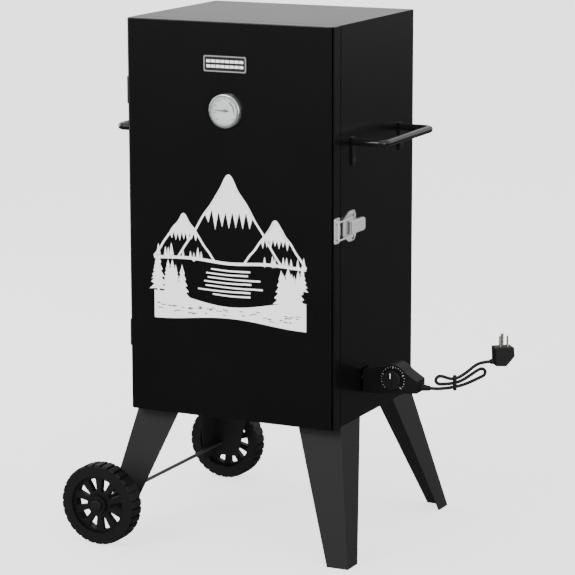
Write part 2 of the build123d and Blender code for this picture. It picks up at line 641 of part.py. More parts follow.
GASKET_OUT = GASKET_IN + GASKET_W
with BuildPart() as door_gasket:
    block(XL + GASKET_IN, XR - GASKET_IN, LINER_Y + SHEET, YB - GASKET_GAP,
          Z0 + GASKET_IN, Z1 - GASKET_IN)
    block(XL + GASKET_OUT, XR - GASKET_OUT, YF, YR, Z0 + GASKET_OUT, Z1 - GASKET_OUT,
          Mode.SUBTRACT)
save(door_gasket, "door_gasket")

OUT = (0, -1, 0)


def on_thermometer(forward):
    """A point on the thermometer's axis, so far in front of the door."""
    return (CX + THERMO_X, YF - forward, Z0 + THERMO_Z)


with BuildPart() as thermometer_case:
    rod(on_thermometer(0), OUT, THERMO_R, THERMO_T)
    fillet(thermometer_case.edges().sort_by(Axis.Y)[0], THERMO_EDGE_R)
    rod(on_thermometer(THERMO_FLOOR), OUT, THERMO_R - THERMO_RIM, THERMO_T, Mode.SUBTRACT)
    rod(on_thermometer(-1), OUT, THERMO_STEM_R, THERMO_T, Mode.SUBTRACT)
save(thermometer_case, "thermometer_case")

with BuildPart() as thermometer_dial:
    rod(on_thermometer(THERMO_FLOOR), OUT, THERMO_R - THERMO_RIM, THERMO_DIAL_T)
    rod(on_thermometer(THERMO_FLOOR - 1), OUT, THERMO_STEM_R, THERMO_DIAL_T + 2,
        Mode.SUBTRACT)
save(thermometer_dial, "thermometer_dial")

NEEDLE_L = THERMO_R - THERMO_RIM - NEEDLE_TIP_GAP
NEEDLE_WAY = math.radians(NEEDLE_ANGLE)
STEM_TOP = THERMO_FLOOR + THERMO_DIAL_T + 0.4
with BuildPart() as thermometer_needle:
    with BuildSketch(Plane(origin=on_thermometer(NEEDLE_UP), z_dir=OUT,
                           x_dir=(math.cos(NEEDLE_WAY), 0, math.sin(NEEDLE_WAY)))):
        Polygon(
            (-NEEDLE_TAIL, -NEEDLE_TAIL_W / 2),
            (-NEEDLE_TAIL, NEEDLE_TAIL_W / 2),
            (NEEDLE_L, NEEDLE_TIP_W / 2),
            (NEEDLE_L, -NEEDLE_TIP_W / 2),
            align=None)
        Circle(NEEDLE_HUB_R)
    extrude(amount=NEEDLE_T)
    rod(on_thermometer(STEM_TOP), OUT, NEEDLE_PIN_R + RUN / 2, 3, Mode.SUBTRACT)
save(thermometer_needle, "thermometer_needle")

with BuildPart() as thermometer_lens:
    rod(on_thermometer(THERMO_T - THERMO_LENS_IN), OUT, THERMO_R - THERMO_RIM, THERMO_LENS_T)
save(thermometer_lens, "thermometer_lens")

with BuildPart() as thermometer_stem:
    rod(on_thermometer(STEM_TOP), Y_DIR, THERMO_STEM_R, THERMO_STEM_L)
    rod(on_thermometer(STEM_TOP), OUT, NEEDLE_PIN_R, NEEDLE_PIN_L)
save(thermometer_stem, "thermometer_stem")

with BuildPart() as thermometer_nut:
    with BuildSketch(Plane(origin=on_thermometer(-SHEET), z_dir=Y_DIR)):
        RegularPolygon(THERMO_NUT_R, 6)
        Circle(THERMO_STEM_R, mode=Mode.SUBTRACT)
    extrude(amount=THERMO_NUT_T)
save(thermometer_nut, "thermometer_nut")

with BuildPart() as name_plate:
    with BuildSketch(Plane(origin=(CX + PLATE_X, YF, Z0 + PLATE_Z), x_dir=X_DIR, z_dir=OUT)):
        RectangleRounded(PLATE_W, PLATE_H, PLATE_CORNER)
    extrude(amount=PLATE_T)
save(name_plate, "name_plate")

# ---------------------------------------------------------------- hinges
KNUCKLE = HINGE_H / 3


def hinge_leaf(y_sign, knuckles):
    """One leaf of each hinge with its knuckles, in the part being built."""
    for middle in HINGE_ZS:
        z_mid = Z0 + middle
        near = HINGE_Y + y_sign * HINGE_STEP
        far = HINGE_Y + y_sign * (HINGE_STEP + HINGE_LEAF)
        block(XL - HINGE_T, XL, near, far, z_mid - HINGE_H / 2, z_mid + HINGE_H / 2)
        for place in knuckles:
            z_low = z_mid + place * KNUCKLE - KNUCKLE / 2 + KNUCKLE_GAP / 2
            high = KNUCKLE - KNUCKLE_GAP
            rod((HINGE_X, HINGE_Y, z_low), Z_DIR, HINGE_BARREL_R, high)
            block(HINGE_X + 1.0, HINGE_X + HINGE_BARREL_R, HINGE_Y, near, z_low, z_low + high)
            block(HINGE_X + 2.0, XL, near - y_sign, near, z_low, z_low + high)
            rod((HINGE_X, HINGE_Y, z_low - 1), Z_DIR, HINGE_PIN_R + RUN / 2, high + 2,
                Mode.SUBTRACT)
    for z in HINGE_RIVET_ZS:
        rod((XL - 3, HINGE_Y + y_sign * HINGE_RIVET_OUT, z), X_DIR, RIVET_R, 5, Mode.SUBTRACT)


with BuildPart() as hinge_leaves_door:
    hinge_leaf(-1, (0,))
save(hinge_leaves_door, "hinge_leaves_door")

with BuildPart() as hinge_leaves_cabinet:
    hinge_leaf(1, (-1, 1))
save(hinge_leaves_cabinet, "hinge_leaves_cabinet")

with BuildPart() as hinge_pins:
    for middle in HINGE_ZS:
        z_low = Z0 + middle - HINGE_H / 2
        rod((HINGE_X, HINGE_Y, z_low), Z_DIR, HINGE_PIN_R, HINGE_H)
        rod((HINGE_X, HINGE_Y, z_low + HINGE_H), Z_DIR, HINGE_PIN_R + PIN_HEAD_OVER, PIN_HEAD_T)
save(hinge_pins, "hinge_pins")

# ---------------------------------------------------------------- latch
PIVOT = (XR + LEVER_PIVOT_X, LEVER_PIVOT_Y, Z0 + LATCH_Z)
BAIL_PIVOT = (PIVOT[0] - BAIL_DROP, PIVOT[1] + BAIL_ARM, PIVOT[2])
EAR_IN = LEVER_W / 2 + LATCH_EAR_GAP
EAR_OUT = EAR_IN + LATCH_T
with BuildPart() as latch_base:
    with BuildSketch(Plane(origin=(XR, LATCH_Y, Z0 + LATCH_Z), x_dir=Y_DIR, z_dir=X_DIR)):
        with BuildLine():
            FilletPolyline(
                (LATCH_FRONT, -LATCH_FRONT_H / 2),
                (-LATCH_BACK, -LATCH_H / 2),
                (LATCH_BACK / 2, -LATCH_H / 2),
                (LATCH_BACK, -LATCH_BACK_H / 2),
                (LATCH_BACK, LATCH_BACK_H / 2),
                (LATCH_BACK / 2, LATCH_H / 2),
                (-LATCH_BACK, LATCH_H / 2),
                (LATCH_FRONT, LATCH_FRONT_H / 2),
                radius=LATCH_CORNER, close=True)
        make_face()
    extrude(amount=LATCH_T)
    for side in (-1, 1):
        z_in = Z0 + LATCH_Z + side * EAR_IN
        z_out = Z0 + LATCH_Z + side * EAR_OUT
        block(XR, PIVOT[0], PIVOT[1] - LATCH_EAR_R, PIVOT[1] + LATCH_EAR_R, z_in, z_out)
        rod((PIVOT[0], PIVOT[1], min(z_in, z_out)), Z_DIR, LATCH_EAR_R, LATCH_T)
        rod((PIVOT[0], PIVOT[1], min(z_in, z_out) - 1), Z_DIR, LATCH_PIN_R, LATCH_T + 2,
            Mode.SUBTRACT)
    for z in LATCH_RIVET_ZS:
        rod((XR - 1, LATCH_Y, z), X_DIR, RIVET_R, 4, Mode.SUBTRACT)
save(latch_base, "latch_base")

with BuildPart() as latch_pivot_pin:
    rod((PIVOT[0], PIVOT[1], PIVOT[2] - EAR_OUT), Z_DIR, LATCH_PIN_R, 2 * EAR_OUT)
save(latch_pivot_pin, "latch_pivot_pin")

LEVER_X0 = XR + LATCH_T + LEVER_GAP
LEVER_ROOT_R = PIVOT[0] - LEVER_X0           # the lever's root is round about its pivot
LEVER_X1 = PIVOT[0] + LEVER_ROOT_R
LEVER_Y1 = PIVOT[1] - LEVER_ROOT_R + LEVER_L
LEVER_LOW = PIVOT[2] - LEVER_W / 2
with BuildPart() as latch_lever:
    with BuildSketch(Plane.XY.offset(LEVER_LOW)):
        with Locations((PIVOT[0], PIVOT[1])):
            Circle(LEVER_ROOT_R)
        with Locations((PIVOT[0], (PIVOT[1] + LEVER_Y1) / 2)):
            Rectangle(2 * LEVER_ROOT_R, LEVER_Y1 - PIVOT[1])
    extrude(amount=LEVER_W)
    fillet(latch_lever.edges().filter_by(Axis.X).group_by(Axis.Y)[-1], LEVER_TIP_R)
    fillet(latch_lever.faces().sort_by(Axis.X)[-1].edges().filter_by(Axis.Y), LEVER_EDGE_R)
    block(LEVER_X0 - 1, LEVER_X1 - LEVER_T, PIVOT[1] - LEVER_L, LEVER_Y1 - LEVER_TIP_R,
          LEVER_LOW + LEVER_T, LEVER_LOW + LEVER_W - LEVER_T, Mode.SUBTRACT)
    block(LEVER_X0 - 1, LEVER_X0 + LEVER_MOUTH_H, PIVOT[1] + LEVER_MOUTH, LEVER_Y1 + 1,
          PIVOT[2] - LEVER_W, PIVOT[2] + LEVER_W, Mode.SUBTRACT)
    rod((PIVOT[0], PIVOT[1], PIVOT[2] - LEVER_W), Z_DIR, LATCH_PIN_R + RUN / 2, 2 * LEVER_W,
        Mode.SUBTRACT)
    rod((BAIL_PIVOT[0], BAIL_PIVOT[1], PIVOT[2] - LEVER_W), Z_DIR, BAIL_R + RUN / 2,
        2 * LEVER_W, Mode.SUBTRACT)
save(latch_lever, "latch_lever")

BAIL_HALF = EAR_OUT + BAIL_EAR_GAP + BAIL_R
BAR_X = BAIL_PIVOT[0] + BAIL_RISE
with BuildPart() as latch_bail:
    for side in (-1, 1):
        z_leg = BAIL_PIVOT[2] + side * BAIL_HALF
        inner = BAIL_PIVOT[2] + side * (LEVER_W / 2 - LEVER_T - 0.5)
        rod((BAIL_PIVOT[0], BAIL_PIVOT[1], min(z_leg, inner)), Z_DIR, BAIL_R,
            abs(z_leg - inner))
        with Locations((BAIL_PIVOT[0], BAIL_PIVOT[1], z_leg), (BAR_X, BAIL_BAR_Y, z_leg)):
            Sphere(BAIL_R)
        leg = Vector(BAR_X - BAIL_PIVOT[0], BAIL_BAR_Y - BAIL_PIVOT[1], 0)
        rod((BAIL_PIVOT[0], BAIL_PIVOT[1], z_leg), tuple(leg), BAIL_R, leg.length)
    rod((BAR_X, BAIL_BAR_Y, BAIL_PIVOT[2] - BAIL_HALF), Z_DIR, BAIL_R, 2 * BAIL_HALF)
save(latch_bail, "latch_bail")

KEEPER_LIP = BAR_X - BAIL_R - KEEPER_LIP_GAP - XR
with BuildPart() as latch_keeper:
    with BuildSketch(Plane(origin=(XR, KEEPER_Y, Z0 + LATCH_Z), x_dir=Y_DIR, z_dir=X_DIR)):
        RectangleRounded(KEEPER_W, KEEPER_H, KEEPER_CORNER)
    extrude(amount=KEEPER_T)
    block(XR, XR + KEEPER_LIP, KEEPER_Y - 1, KEEPER_Y + 4,
          Z0 + LATCH_Z - KEEPER_LIP_W / 2, Z0 + LATCH_Z + KEEPER_LIP_W / 2)
    for z in KEEPER_RIVET_ZS:
        rod((XR - 1, KEEPER_Y, z), X_DIR, RIVET_R, 4, Mode.SUBTRACT)
save(latch_keeper, "latch_keeper")

# ---------------------------------------------------------------- rivets and screws
with BuildPart() as cabinet_rivets:
    for z in LATCH_RIVET_ZS:
        rivet((XR + LATCH_T, LATCH_Y, z), X_DIR, LATCH_T + SHEET)
    for z in HINGE_RIVET_ZS:
        rivet((XL - HINGE_T, HINGE_Y + HINGE_RIVET_OUT, z), (-1, 0, 0), HINGE_T + SHEET)
    for side in (-1, 1):
        for z in BACK_SCREW_ZS:
            rivet((CX + side * BACK_SCREW_X, YR, z), Y_DIR, 2 * SHEET)
save(cabinet_rivets, "cabinet_rivets")

with BuildPart() as door_rivets:
    for z in KEEPER_RIVET_ZS:
        rivet((XR + KEEPER_T, KEEPER_Y, z), X_DIR, KEEPER_T + SHEET)
    for z in HINGE_RIVET_ZS:
        rivet((XL - HINGE_T, HINGE_Y - HINGE_RIVET_OUT, z), (-1, 0, 0), HINGE_T + SHEET)
save(door_rivets, "door_rivets")

# ---------------------------------------------------------------- side handles
for name, side in (("side_handle_left", -1), ("side_handle_right", 1)):
    wall = wall_x(side)
    with BuildPart() as handle:
        with BuildLine(Plane.XY.offset(Z0 + HANDLE_Z)):
            FilletPolyline(
                (wall + side, HANDLE_Y0),
                (wall + side * HANDLE_OUT, HANDLE_Y0),
                (wall + side * HANDLE_OUT, HANDLE_Y1),
                (wall + side, HANDLE_Y1),
                radius=HANDLE_BEND)
        with BuildSketch(Plane(origin=(wall + side, HANDLE_Y0, Z0 + HANDLE_Z),
                               z_dir=(side, 0, 0))):
            Circle(HANDLE_R)
        sweep()
        for y in (HANDLE_Y0, HANDLE_Y1):
            block(wall, wall + side * HANDLE_PLATE_T, y - HANDLE_PLATE_W / 2,
                  y + HANDLE_PLATE_W / 2, PLATE_TOP - HANDLE_PLATE_H, PLATE_TOP)
            rod((wall - side, y, HANDLE_BOLT_Z), (side, 0, 0), HANDLE_BOLT_R + RUN, 6, Mode.SUBTRACT)
    save(handle, name)

with BuildPart() as handle_bolts:
    for side in (-1, 1):
        for y in (HANDLE_Y0, HANDLE_Y1):
            face = wall_x(side) + side * HANDLE_PLATE_T
            rivet((face, y, HANDLE_BOLT_Z), (side, 0, 0), HANDLE_PLATE_T + SHEET,
                  head_r=HANDLE_BOLT_HEAD_R, head_t=HANDLE_BOLT_HEAD_T, shank_r=HANDLE_BOLT_R)
save(handle_bolts, "handle_bolts")

# ---------------------------------------------------------------- legs
for name, (side, end) in LEGS.items():
    z_low = 0.0 if side > 0 else AXLE_Z - LEG_BELOW_AXLE
    with BuildPart() as leg:
        for z in (Z0, z_low):
            x, y = leg_corner(side, end, z)
            w = leg_width(z)
            with BuildSketch(Plane.XY.offset(z)):
                Polygon(
                    (x, y),
                    (x - side * w, y),
                    (x - side * w, y - end * LEG_SHEET),
                    (x - side * LEG_SHEET, y - end * LEG_SHEET),
                    (x - side * LEG_SHEET, y - end * w),
                    (x, y - end * w),
                    align=None)
        loft(ruled=True)
        x, y = leg_corner(side, end, Z0)
        block(x - side * LEG_TAB, x - side * LEG_TAB_GAP, y - end * LEG_TAB, y - end * LEG_TAB_GAP,
              Z0 - LEG_SHEET, Z0)
        for bolt_x, bolt_y in leg_bolts_at(side, end):
            rod((bolt_x, bolt_y, Z0 - 5), Z_DIR, LEG_BOLT_R + RUN, 8, Mode.SUBTRACT)
        if side < 0:
            rod((AXLE_X, -WHEEL_FACE, AXLE_Z), Y_DIR, AXLE_R + AXLE_HOLE_GAP, 2 * WHEEL_FACE,
                Mode.SUBTRACT)
    save(leg, name)

with BuildPart() as leg_fasteners:
    for side, end in LEGS.values():
        for x, y in leg_bolts_at(side, end):
            rod((x, y, Z0 - LEG_SHEET), Z_DIR, LEG_BOLT_R, LEG_SHEET + SHEET + LEG_BOLT_END)
            with BuildSketch(Plane.XY.offset(Z0 - LEG_SHEET)):
                with Locations((x, y)):
                    RegularPolygon(LEG_NUT_R, 6)
            extrude(amount=-LEG_NUT_T)
            with BuildSketch(Plane.XY.offset(Z0 + SHEET)):
                with Locations((x, y)):
                    RegularPolygon(LEG_NUT_R, 6)
                    Circle(LEG_BOLT_R, mode=Mode.SUBTRACT)
            extrude(amount=LEG_NUT_T)
save(leg_fasteners, "leg_fasteners")

# ---------------------------------------------------------------- axle and wheels
AXLE_END = WHEEL_FACE + AXLE_CAP_T - AXLE_CAP_FLOOR
with BuildPart() as axle:
    rod((AXLE_X, -AXLE_END, AXLE_Z), Y_DIR, AXLE_R, 2 * AXLE_END)
save(axle, "axle")

with BuildPart() as axle_caps:
    for end in (-1, 1):
        face = end * (WHEEL_FACE + AXLE_CAP_GAP)
        rod((AXLE_X, face, AXLE_Z), (0, end, 0), AXLE_CAP_R, AXLE_CAP_T)
        fillet(axle_caps.edges().sort_by(Axis.Y)[0 if end < 0 else -1], AXLE_CAP_EDGE_R)
        rod((AXLE_X, face - end, AXLE_Z), (0, end, 0), AXLE_R, AXLE_CAP_T, Mode.SUBTRACT)
save(axle_caps, "axle_caps")

with BuildPart() as axle_spacers:
    for end in (-1, 1):
        leg_face = leg_corner(-1, end, AXLE_Z)[1] + end * SPACER_R * LEG_SPLAY_Y / LEG_H
        wheel_face = end * (WHEEL_FACE - WHEEL_W - SPACER_GAP)
        rod((AXLE_X, leg_face + end * SPACER_LEG_GAP, AXLE_Z), (0, end, 0), SPACER_R,
            abs(wheel_face - leg_face) - SPACER_LEG_GAP)
        rod((AXLE_X, leg_face - end, AXLE_Z), (0, end, 0), AXLE_R, 60, Mode.SUBTRACT)
save(axle_spacers, "axle_spacers")

RIM_R = WHEEL_R - WHEEL_RIM_T
for name, end in (("wheel_front", -1), ("wheel_rear", 1)):
    face = end * WHEEL_FACE
    inward = (0, -end, 0)
    web_back = face - end * (WHEEL_DISH + WHEEL_WEB_T)
    with BuildPart() as wheel:
        rod((AXLE_X, face, AXLE_Z), inward, WHEEL_R, WHEEL_W)
        fillet(wheel.edges().filter_by(GeomType.CIRCLE), WHEEL_EDGE_R)
        rod((AXLE_X, face + end, AXLE_Z), inward, RIM_R, WHEEL_DISH + 1, Mode.SUBTRACT)
        rod((AXLE_X, web_back, AXLE_Z), inward, RIM_R, WHEEL_W, Mode.SUBTRACT)
        rod((AXLE_X, face, AXLE_Z), inward, WHEEL_HUB_R, WHEEL_W)
        flat = Plane(origin=(AXLE_X, face, AXLE_Z), x_dir=X_DIR, z_dir=inward)
        with BuildSketch(flat) as flat_windows:
            with PolarLocations(0, WHEEL_SPOKES):
                Polygon(
                    (WINDOW_IN, -WINDOW_W_IN / 2),
                    (WINDOW_OUT, -WINDOW_W_OUT / 2),
                    (WINDOW_OUT, WINDOW_W_OUT / 2),
                    (WINDOW_IN, WINDOW_W_IN / 2),
                    align=None)
            fillet(flat_windows.vertices(), WINDOW_CORNER)
        extrude(amount=WHEEL_W, mode=Mode.SUBTRACT)
        with BuildSketch(flat):
            with PolarLocations(WHEEL_R, TREAD_LUGS):
                Rectangle(2 * TREAD_DEPTH, TREAD_GROOVE)
        extrude(amount=WHEEL_W, mode=Mode.SUBTRACT)
        rod((AXLE_X, face + end, AXLE_Z), inward, AXLE_R + RUN / 2, WHEEL_W + 2, Mode.SUBTRACT)
    save(wheel, name)

# ---------------------------------------------------------------- plug-in controller
CY0 = CONTROLLER_Y - CONTROLLER_T / 2
CONTROLLER_END = XR + CONTROLLER_L
NECK_ROOT = LOBE_X + NECK_ROOT_OUT
CONTROLLER_MID = Plane(origin=(XR, CONTROLLER_Y, Z0), x_dir=X_DIR, z_dir=OUT)


def controller_outline(inset):
    """Outline of the controller seen from the front, drawn in by an inset."""
    lobe_top = LOBE_Z + LOBE_R - inset
    lobe_low = LOBE_Z - LOBE_R + inset
    with Locations((LOBE_X, LOBE_Z)):
        Circle(LOBE_R - inset)
    Polygon(
        (CONTROLLER_STANDOFF + inset, CONTROLLER_LOW + inset),
        (LOBE_X, lobe_low),
        (LOBE_X, lobe_top),
        (CONTROLLER_STANDOFF + inset, CONTROLLER_HIGH - inset),
        align=None)
    Polygon(
        (LOBE_X, lobe_low),
        (CONTROLLER_L - inset, NECK_Z - NECK_DOWN + inset),
        (CONTROLLER_L - inset, NECK_Z + NECK_UP - inset),
        (NECK_ROOT, lobe_top - NECK_ROOT_DROP),
        (LOBE_X, lobe_top),
        align=None)


RELIEF_POINT = (CONTROLLER_END, CONTROLLER_Y, Z0 + NECK_Z)
for name, end in (("controller_front_shell", -1), ("controller_rear_shell", 1)):
    with BuildPart() as shell:
        with BuildSketch(CONTROLLER_MID):
            controller_outline(0)
        extrude(amount=-end * CONTROLLER_T / 2)
        with BuildSketch(CONTROLLER_MID):
            controller_outline(CONTROLLER_WALL)
        extrude(amount=-end * (CONTROLLER_T / 2 - CONTROLLER_WALL), mode=Mode.SUBTRACT)
        for y in TERMINAL_YS:
            rod((XR, y, ELEM_Z), X_DIR, TERMINAL_R + TERMINAL_SLEEVE, 8, Mode.SUBTRACT)
        rod((XR, CONTROLLER_Y, PROBE_Z), X_DIR, PROBE_R, 8, Mode.SUBTRACT)
        rod((CONTROLLER_END - 5, CONTROLLER_Y, Z0 + NECK_Z), X_DIR, RELIEF_R0, 8,
            Mode.SUBTRACT)
        if end < 0:
            rod((XR + LOBE_X, CY0 - 1, Z0 + LOBE_Z), Y_DIR, DIAL_SHAFT_R + RUN / 2, 6,
                Mode.SUBTRACT)
    save(shell, name)

with BuildPart() as contact_block:
    block(XR + CONTACT_IN, XR + CONTACT_IN + CONTACT_L, CONTROLLER_Y - CONTACT_W / 2,
          CONTROLLER_Y + CONTACT_W / 2, ELEM_Z - CONTACT_BELOW, ELEM_Z + CONTACT_ABOVE)
    for y in TERMINAL_YS:
        rod((XR + CONTACT_IN - 2, y, ELEM_Z), X_DIR, TERMINAL_R + RUN / 2,
            TERMINAL_OUT - CONTACT_IN + 3, Mode.SUBTRACT)
save(contact_block, "contact_block")

with BuildPart() as controller_probe:
    rod((XR + PROBE_ROOT, CONTROLLER_Y, PROBE_Z), (-1, 0, 0), PROBE_R, PROBE_L)
    fillet(controller_probe.edges().sort_by(Axis.X)[0], PROBE_TIP_R)
save(controller_probe, "controller_probe")

DIAL_BACK = CY0 - DIAL_GAP
DIAL_FACE = DIAL_BACK - DIAL_T
with BuildPart() as controller_dial:
    rod((XR + LOBE_X, DIAL_BACK, Z0 + LOBE_Z), OUT, DIAL_R, DIAL_T)
    fillet(controller_dial.edges().sort_by(Axis.Y)[0], DIAL_EDGE_R)
    rod((XR + LOBE_X, DIAL_BACK, Z0 + LOBE_Z), Y_DIR, DIAL_SHAFT_R, DIAL_SHAFT_L)
    with BuildSketch(Plane(origin=(XR + LOBE_X, DIAL_FACE + DIAL_CAP_T, Z0 + LOBE_Z),
                           x_dir=X_DIR, z_dir=OUT)):
        with PolarLocations(DIAL_R, DIAL_FLUTES):
            Circle(DIAL_FLUTE_R)
    extrude(amount=DIAL_CAP_T + 1 - DIAL_T, mode=Mode.SUBTRACT)
    block(XR + LOBE_X - DIAL_BAR_W / 2, XR + LOBE_X + DIAL_BAR_W / 2, DIAL_FACE - 2,
          DIAL_FACE + 1, Z0 + LOBE_Z - DIAL_R + DIAL_BAR_END, Z0 + LOBE_Z + DIAL_R - DIAL_BAR_END)
save(controller_dial, "controller_dial")

with BuildPart() as strain_relief:
    rod((CONTROLLER_END - RELIEF_IN, CONTROLLER_Y, Z0 + NECK_Z), X_DIR, RELIEF_R0 - RELIEF_WALL,
        RELIEF_IN)
    rod((CONTROLLER_END - RELIEF_FLANGE, CONTROLLER_Y, Z0 + NECK_Z), X_DIR, RELIEF_R0, RELIEF_FLANGE)
    with Locations(Plane(origin=RELIEF_POINT, z_dir=X_DIR)):
        Cone(RELIEF_R0, RELIEF_R1, RELIEF_OUT, align=(Align.CENTER, Align.CENTER, Align.MIN))
save(strain_relief, "strain_relief")

# ---------------------------------------------------------------- cord, tie and plug
EXIT = Vector(CONTROLLER_END + RELIEF_OUT, CONTROLLER_Y, Z0 + NECK_Z)
CORD_ROUTE = [
    (0, 0, 0),
    (9, 0, 0.2),
    (18, 5.5, 0.0),
    (30, 14, 0.9),
    (42, 23.5, 2.9),
    (53, 32.5, 6.6),
    (62.5, 40, 11.4),
    (70.5, 46.5, 15.8),
    (77, 51.7, 19.3),
    (77.7, 52.3, 26.7),
    (73, 48.5, 31.3),
    (66.5, 43.3, 27.8),
    (54, 33.8, 17.6),
    (44, 26, 10.6),
    (33, 17.6, 7.9),
    (22, 9.6, 7.2),
    (13, 3.4, 7.6),
    (9.4, 0.6, 14.2),
    (12.6, 3.4, 21.0),
    (20, 9, 20.6),
    (29, 15.6, 15.4),
    (38.5, 22.8, 15.8),
    (47, 29.4, 21.0),
    (55.5, 36.2, 28.4),
    (64, 43, 37.0),
    (73.5, 50.4, 40.9),
    (83.5, 58, 41.4),
]
route = [EXIT + Vector(*step) for step in CORD_ROUTE]


def corner_radius(before, corner, after):
    """Largest arc that two runs of the cord allow at a corner."""
    a = corner - before
    b = after - corner
    turn = math.radians(a.get_angle(b))
    return 0.45 * min(a.length, b.length) / math.tan(turn / 2)


corner_radii = [corner_radius(*route[k - 1:k + 2]) for k in range(1, len(route) - 1)]
print("cord radii", [round(r, 1) for r in corner_radii])
with BuildPart() as cord:
    with BuildLine() as cord_line:
        FilletPolyline(*route, radius=corner_radii)
    with BuildSketch(Plane(origin=route[0], z_dir=X_DIR)):
        Circle(CORD_R)
    sweep()
cord_length = sum(edge.length for edge in cord_line.edges())
print("cord length", round(cord_length, 1), "volume ratio",
      round(cord.part.volume / (math.pi * CORD_R ** 2 * cord_length), 4))
save(cord, "cord")

LAY = Vector(0.79, 0.61, 0).normalized()         # way that the folded cord points
CORD_END = (route[-1] - route[-2]).normalized()
ACROSS = Vector(-LAY.Y, LAY.X, 0)
TIE_POINT = EXIT + Vector(36.5, 19.8, 8.9)
TIE_W = 4.0
TIE_T = 1.1
TIE_SPAN = 16.0
TIE_ROOM = CORD_R + 1.4
with BuildPart() as cord_tie:
    with BuildSketch(Plane(origin=TIE_POINT - LAY * TIE_W / 2, x_dir=(0, 0, 1), z_dir=LAY)):
        SlotCenterToCenter(TIE_SPAN, 2 * (TIE_ROOM + TIE_T))
        SlotCenterToCenter(TIE_SPAN, 2 * TIE_ROOM, mode=Mode.SUBTRACT)
    extrude(amount=TIE_W)
save(cord_tie, "cord_tie")

PLUG_POINT = route[-1]
PLUG_END = PLUG_NOSE + PLUG_WIDE
plug_plane = Plane(origin=PLUG_POINT - ACROSS * PLUG_THICK / 2, x_dir=LAY, z_dir=ACROSS)
plug_up = 1 if plug_plane.y_dir.Z > 0 else -1
with BuildPart() as plug_body:
    with BuildSketch(plug_plane):
        with BuildLine():
            FilletPolyline(
                (PLUG_NOSE, plug_up * PLUG_LOW),
                (PLUG_NOSE, plug_up * (1 - PLUG_LOW)),
                (PLUG_NOSE + 0.56 * PLUG_WIDE, plug_up * -PLUG_LOW),
                (PLUG_END - 1, plug_up * PLUG_SHOULDER),
                (PLUG_END - 2, plug_up * PLUG_TOP),
                (PLUG_NOSE - 1, plug_up * PLUG_TOP),
                radius=PLUG_EDGE_R, close=True)
        make_face()
    extrude(amount=PLUG_THICK)
    fillet(plug_body.faces().sort_by(Axis.Z)[-1].edges(), PLUG_RIM_R)
    with Locations(Plane(origin=PLUG_POINT, z_dir=CORD_END)):
        Cone(CORD_R + PLUG_SLEEVE_R0, CORD_R + PLUG_SLEEVE_R1, PLUG_SLEEVE_L,
             align=(Align.CENTER, Align.CENTER, Align.MIN))
save(plug_body, "plug_body")

prong_root = PLUG_POINT + LAY * (PLUG_NOSE - 1 + PLUG_WIDE / 2) + Vector(0, 0, PLUG_TOP)
with BuildPart() as plug_prongs:
    for side in (-1, 1):
        foot = prong_root + LAY * side * PRONG_PITCH / 2 - ACROSS * PRONG_SIDE
        with BuildSketch(Plane(origin=foot, x_dir=LAY, z_dir=(0, 0, 1))):
            Rectangle(PRONG_T, PRONG_W)
        extrude(amount=PRONG_L)
    rod(tuple(prong_root + ACROSS * EARTH_PIN_SIDE), Z_DIR, EARTH_PIN_R, PRONG_L + EARTH_PIN_OVER)
save(plug_prongs, "plug_prongs")
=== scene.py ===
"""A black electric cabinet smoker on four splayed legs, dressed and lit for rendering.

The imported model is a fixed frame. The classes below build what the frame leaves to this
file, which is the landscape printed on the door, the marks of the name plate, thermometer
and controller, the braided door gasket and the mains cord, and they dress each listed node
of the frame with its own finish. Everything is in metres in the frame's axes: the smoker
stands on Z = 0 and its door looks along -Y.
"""

import functools
import logging
import math
import random
from collections.abc import Iterable, Sequence
from dataclasses import dataclass, field
from enum import Enum
from typing import Union

import bmesh
import bpy
from mathutils import Matrix, Vector
from mathutils.geometry import tessellate_polygon


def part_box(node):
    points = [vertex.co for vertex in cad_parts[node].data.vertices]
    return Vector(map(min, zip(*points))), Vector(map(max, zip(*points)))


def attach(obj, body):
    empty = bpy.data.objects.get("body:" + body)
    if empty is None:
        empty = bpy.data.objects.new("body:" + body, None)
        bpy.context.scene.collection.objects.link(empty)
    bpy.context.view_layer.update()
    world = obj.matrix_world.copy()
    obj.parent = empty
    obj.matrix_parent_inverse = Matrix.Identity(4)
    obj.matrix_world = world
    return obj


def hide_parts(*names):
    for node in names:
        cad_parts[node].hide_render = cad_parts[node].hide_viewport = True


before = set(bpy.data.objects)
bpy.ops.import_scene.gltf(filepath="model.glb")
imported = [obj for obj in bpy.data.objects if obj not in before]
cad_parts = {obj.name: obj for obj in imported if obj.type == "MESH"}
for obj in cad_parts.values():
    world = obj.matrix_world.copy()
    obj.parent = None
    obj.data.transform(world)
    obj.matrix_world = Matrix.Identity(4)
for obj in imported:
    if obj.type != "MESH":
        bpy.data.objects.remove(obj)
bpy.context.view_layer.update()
MM = 0.001
Point = tuple[float, float]
Colour = tuple[float, float, float]
log = logging.getLogger("smoker")


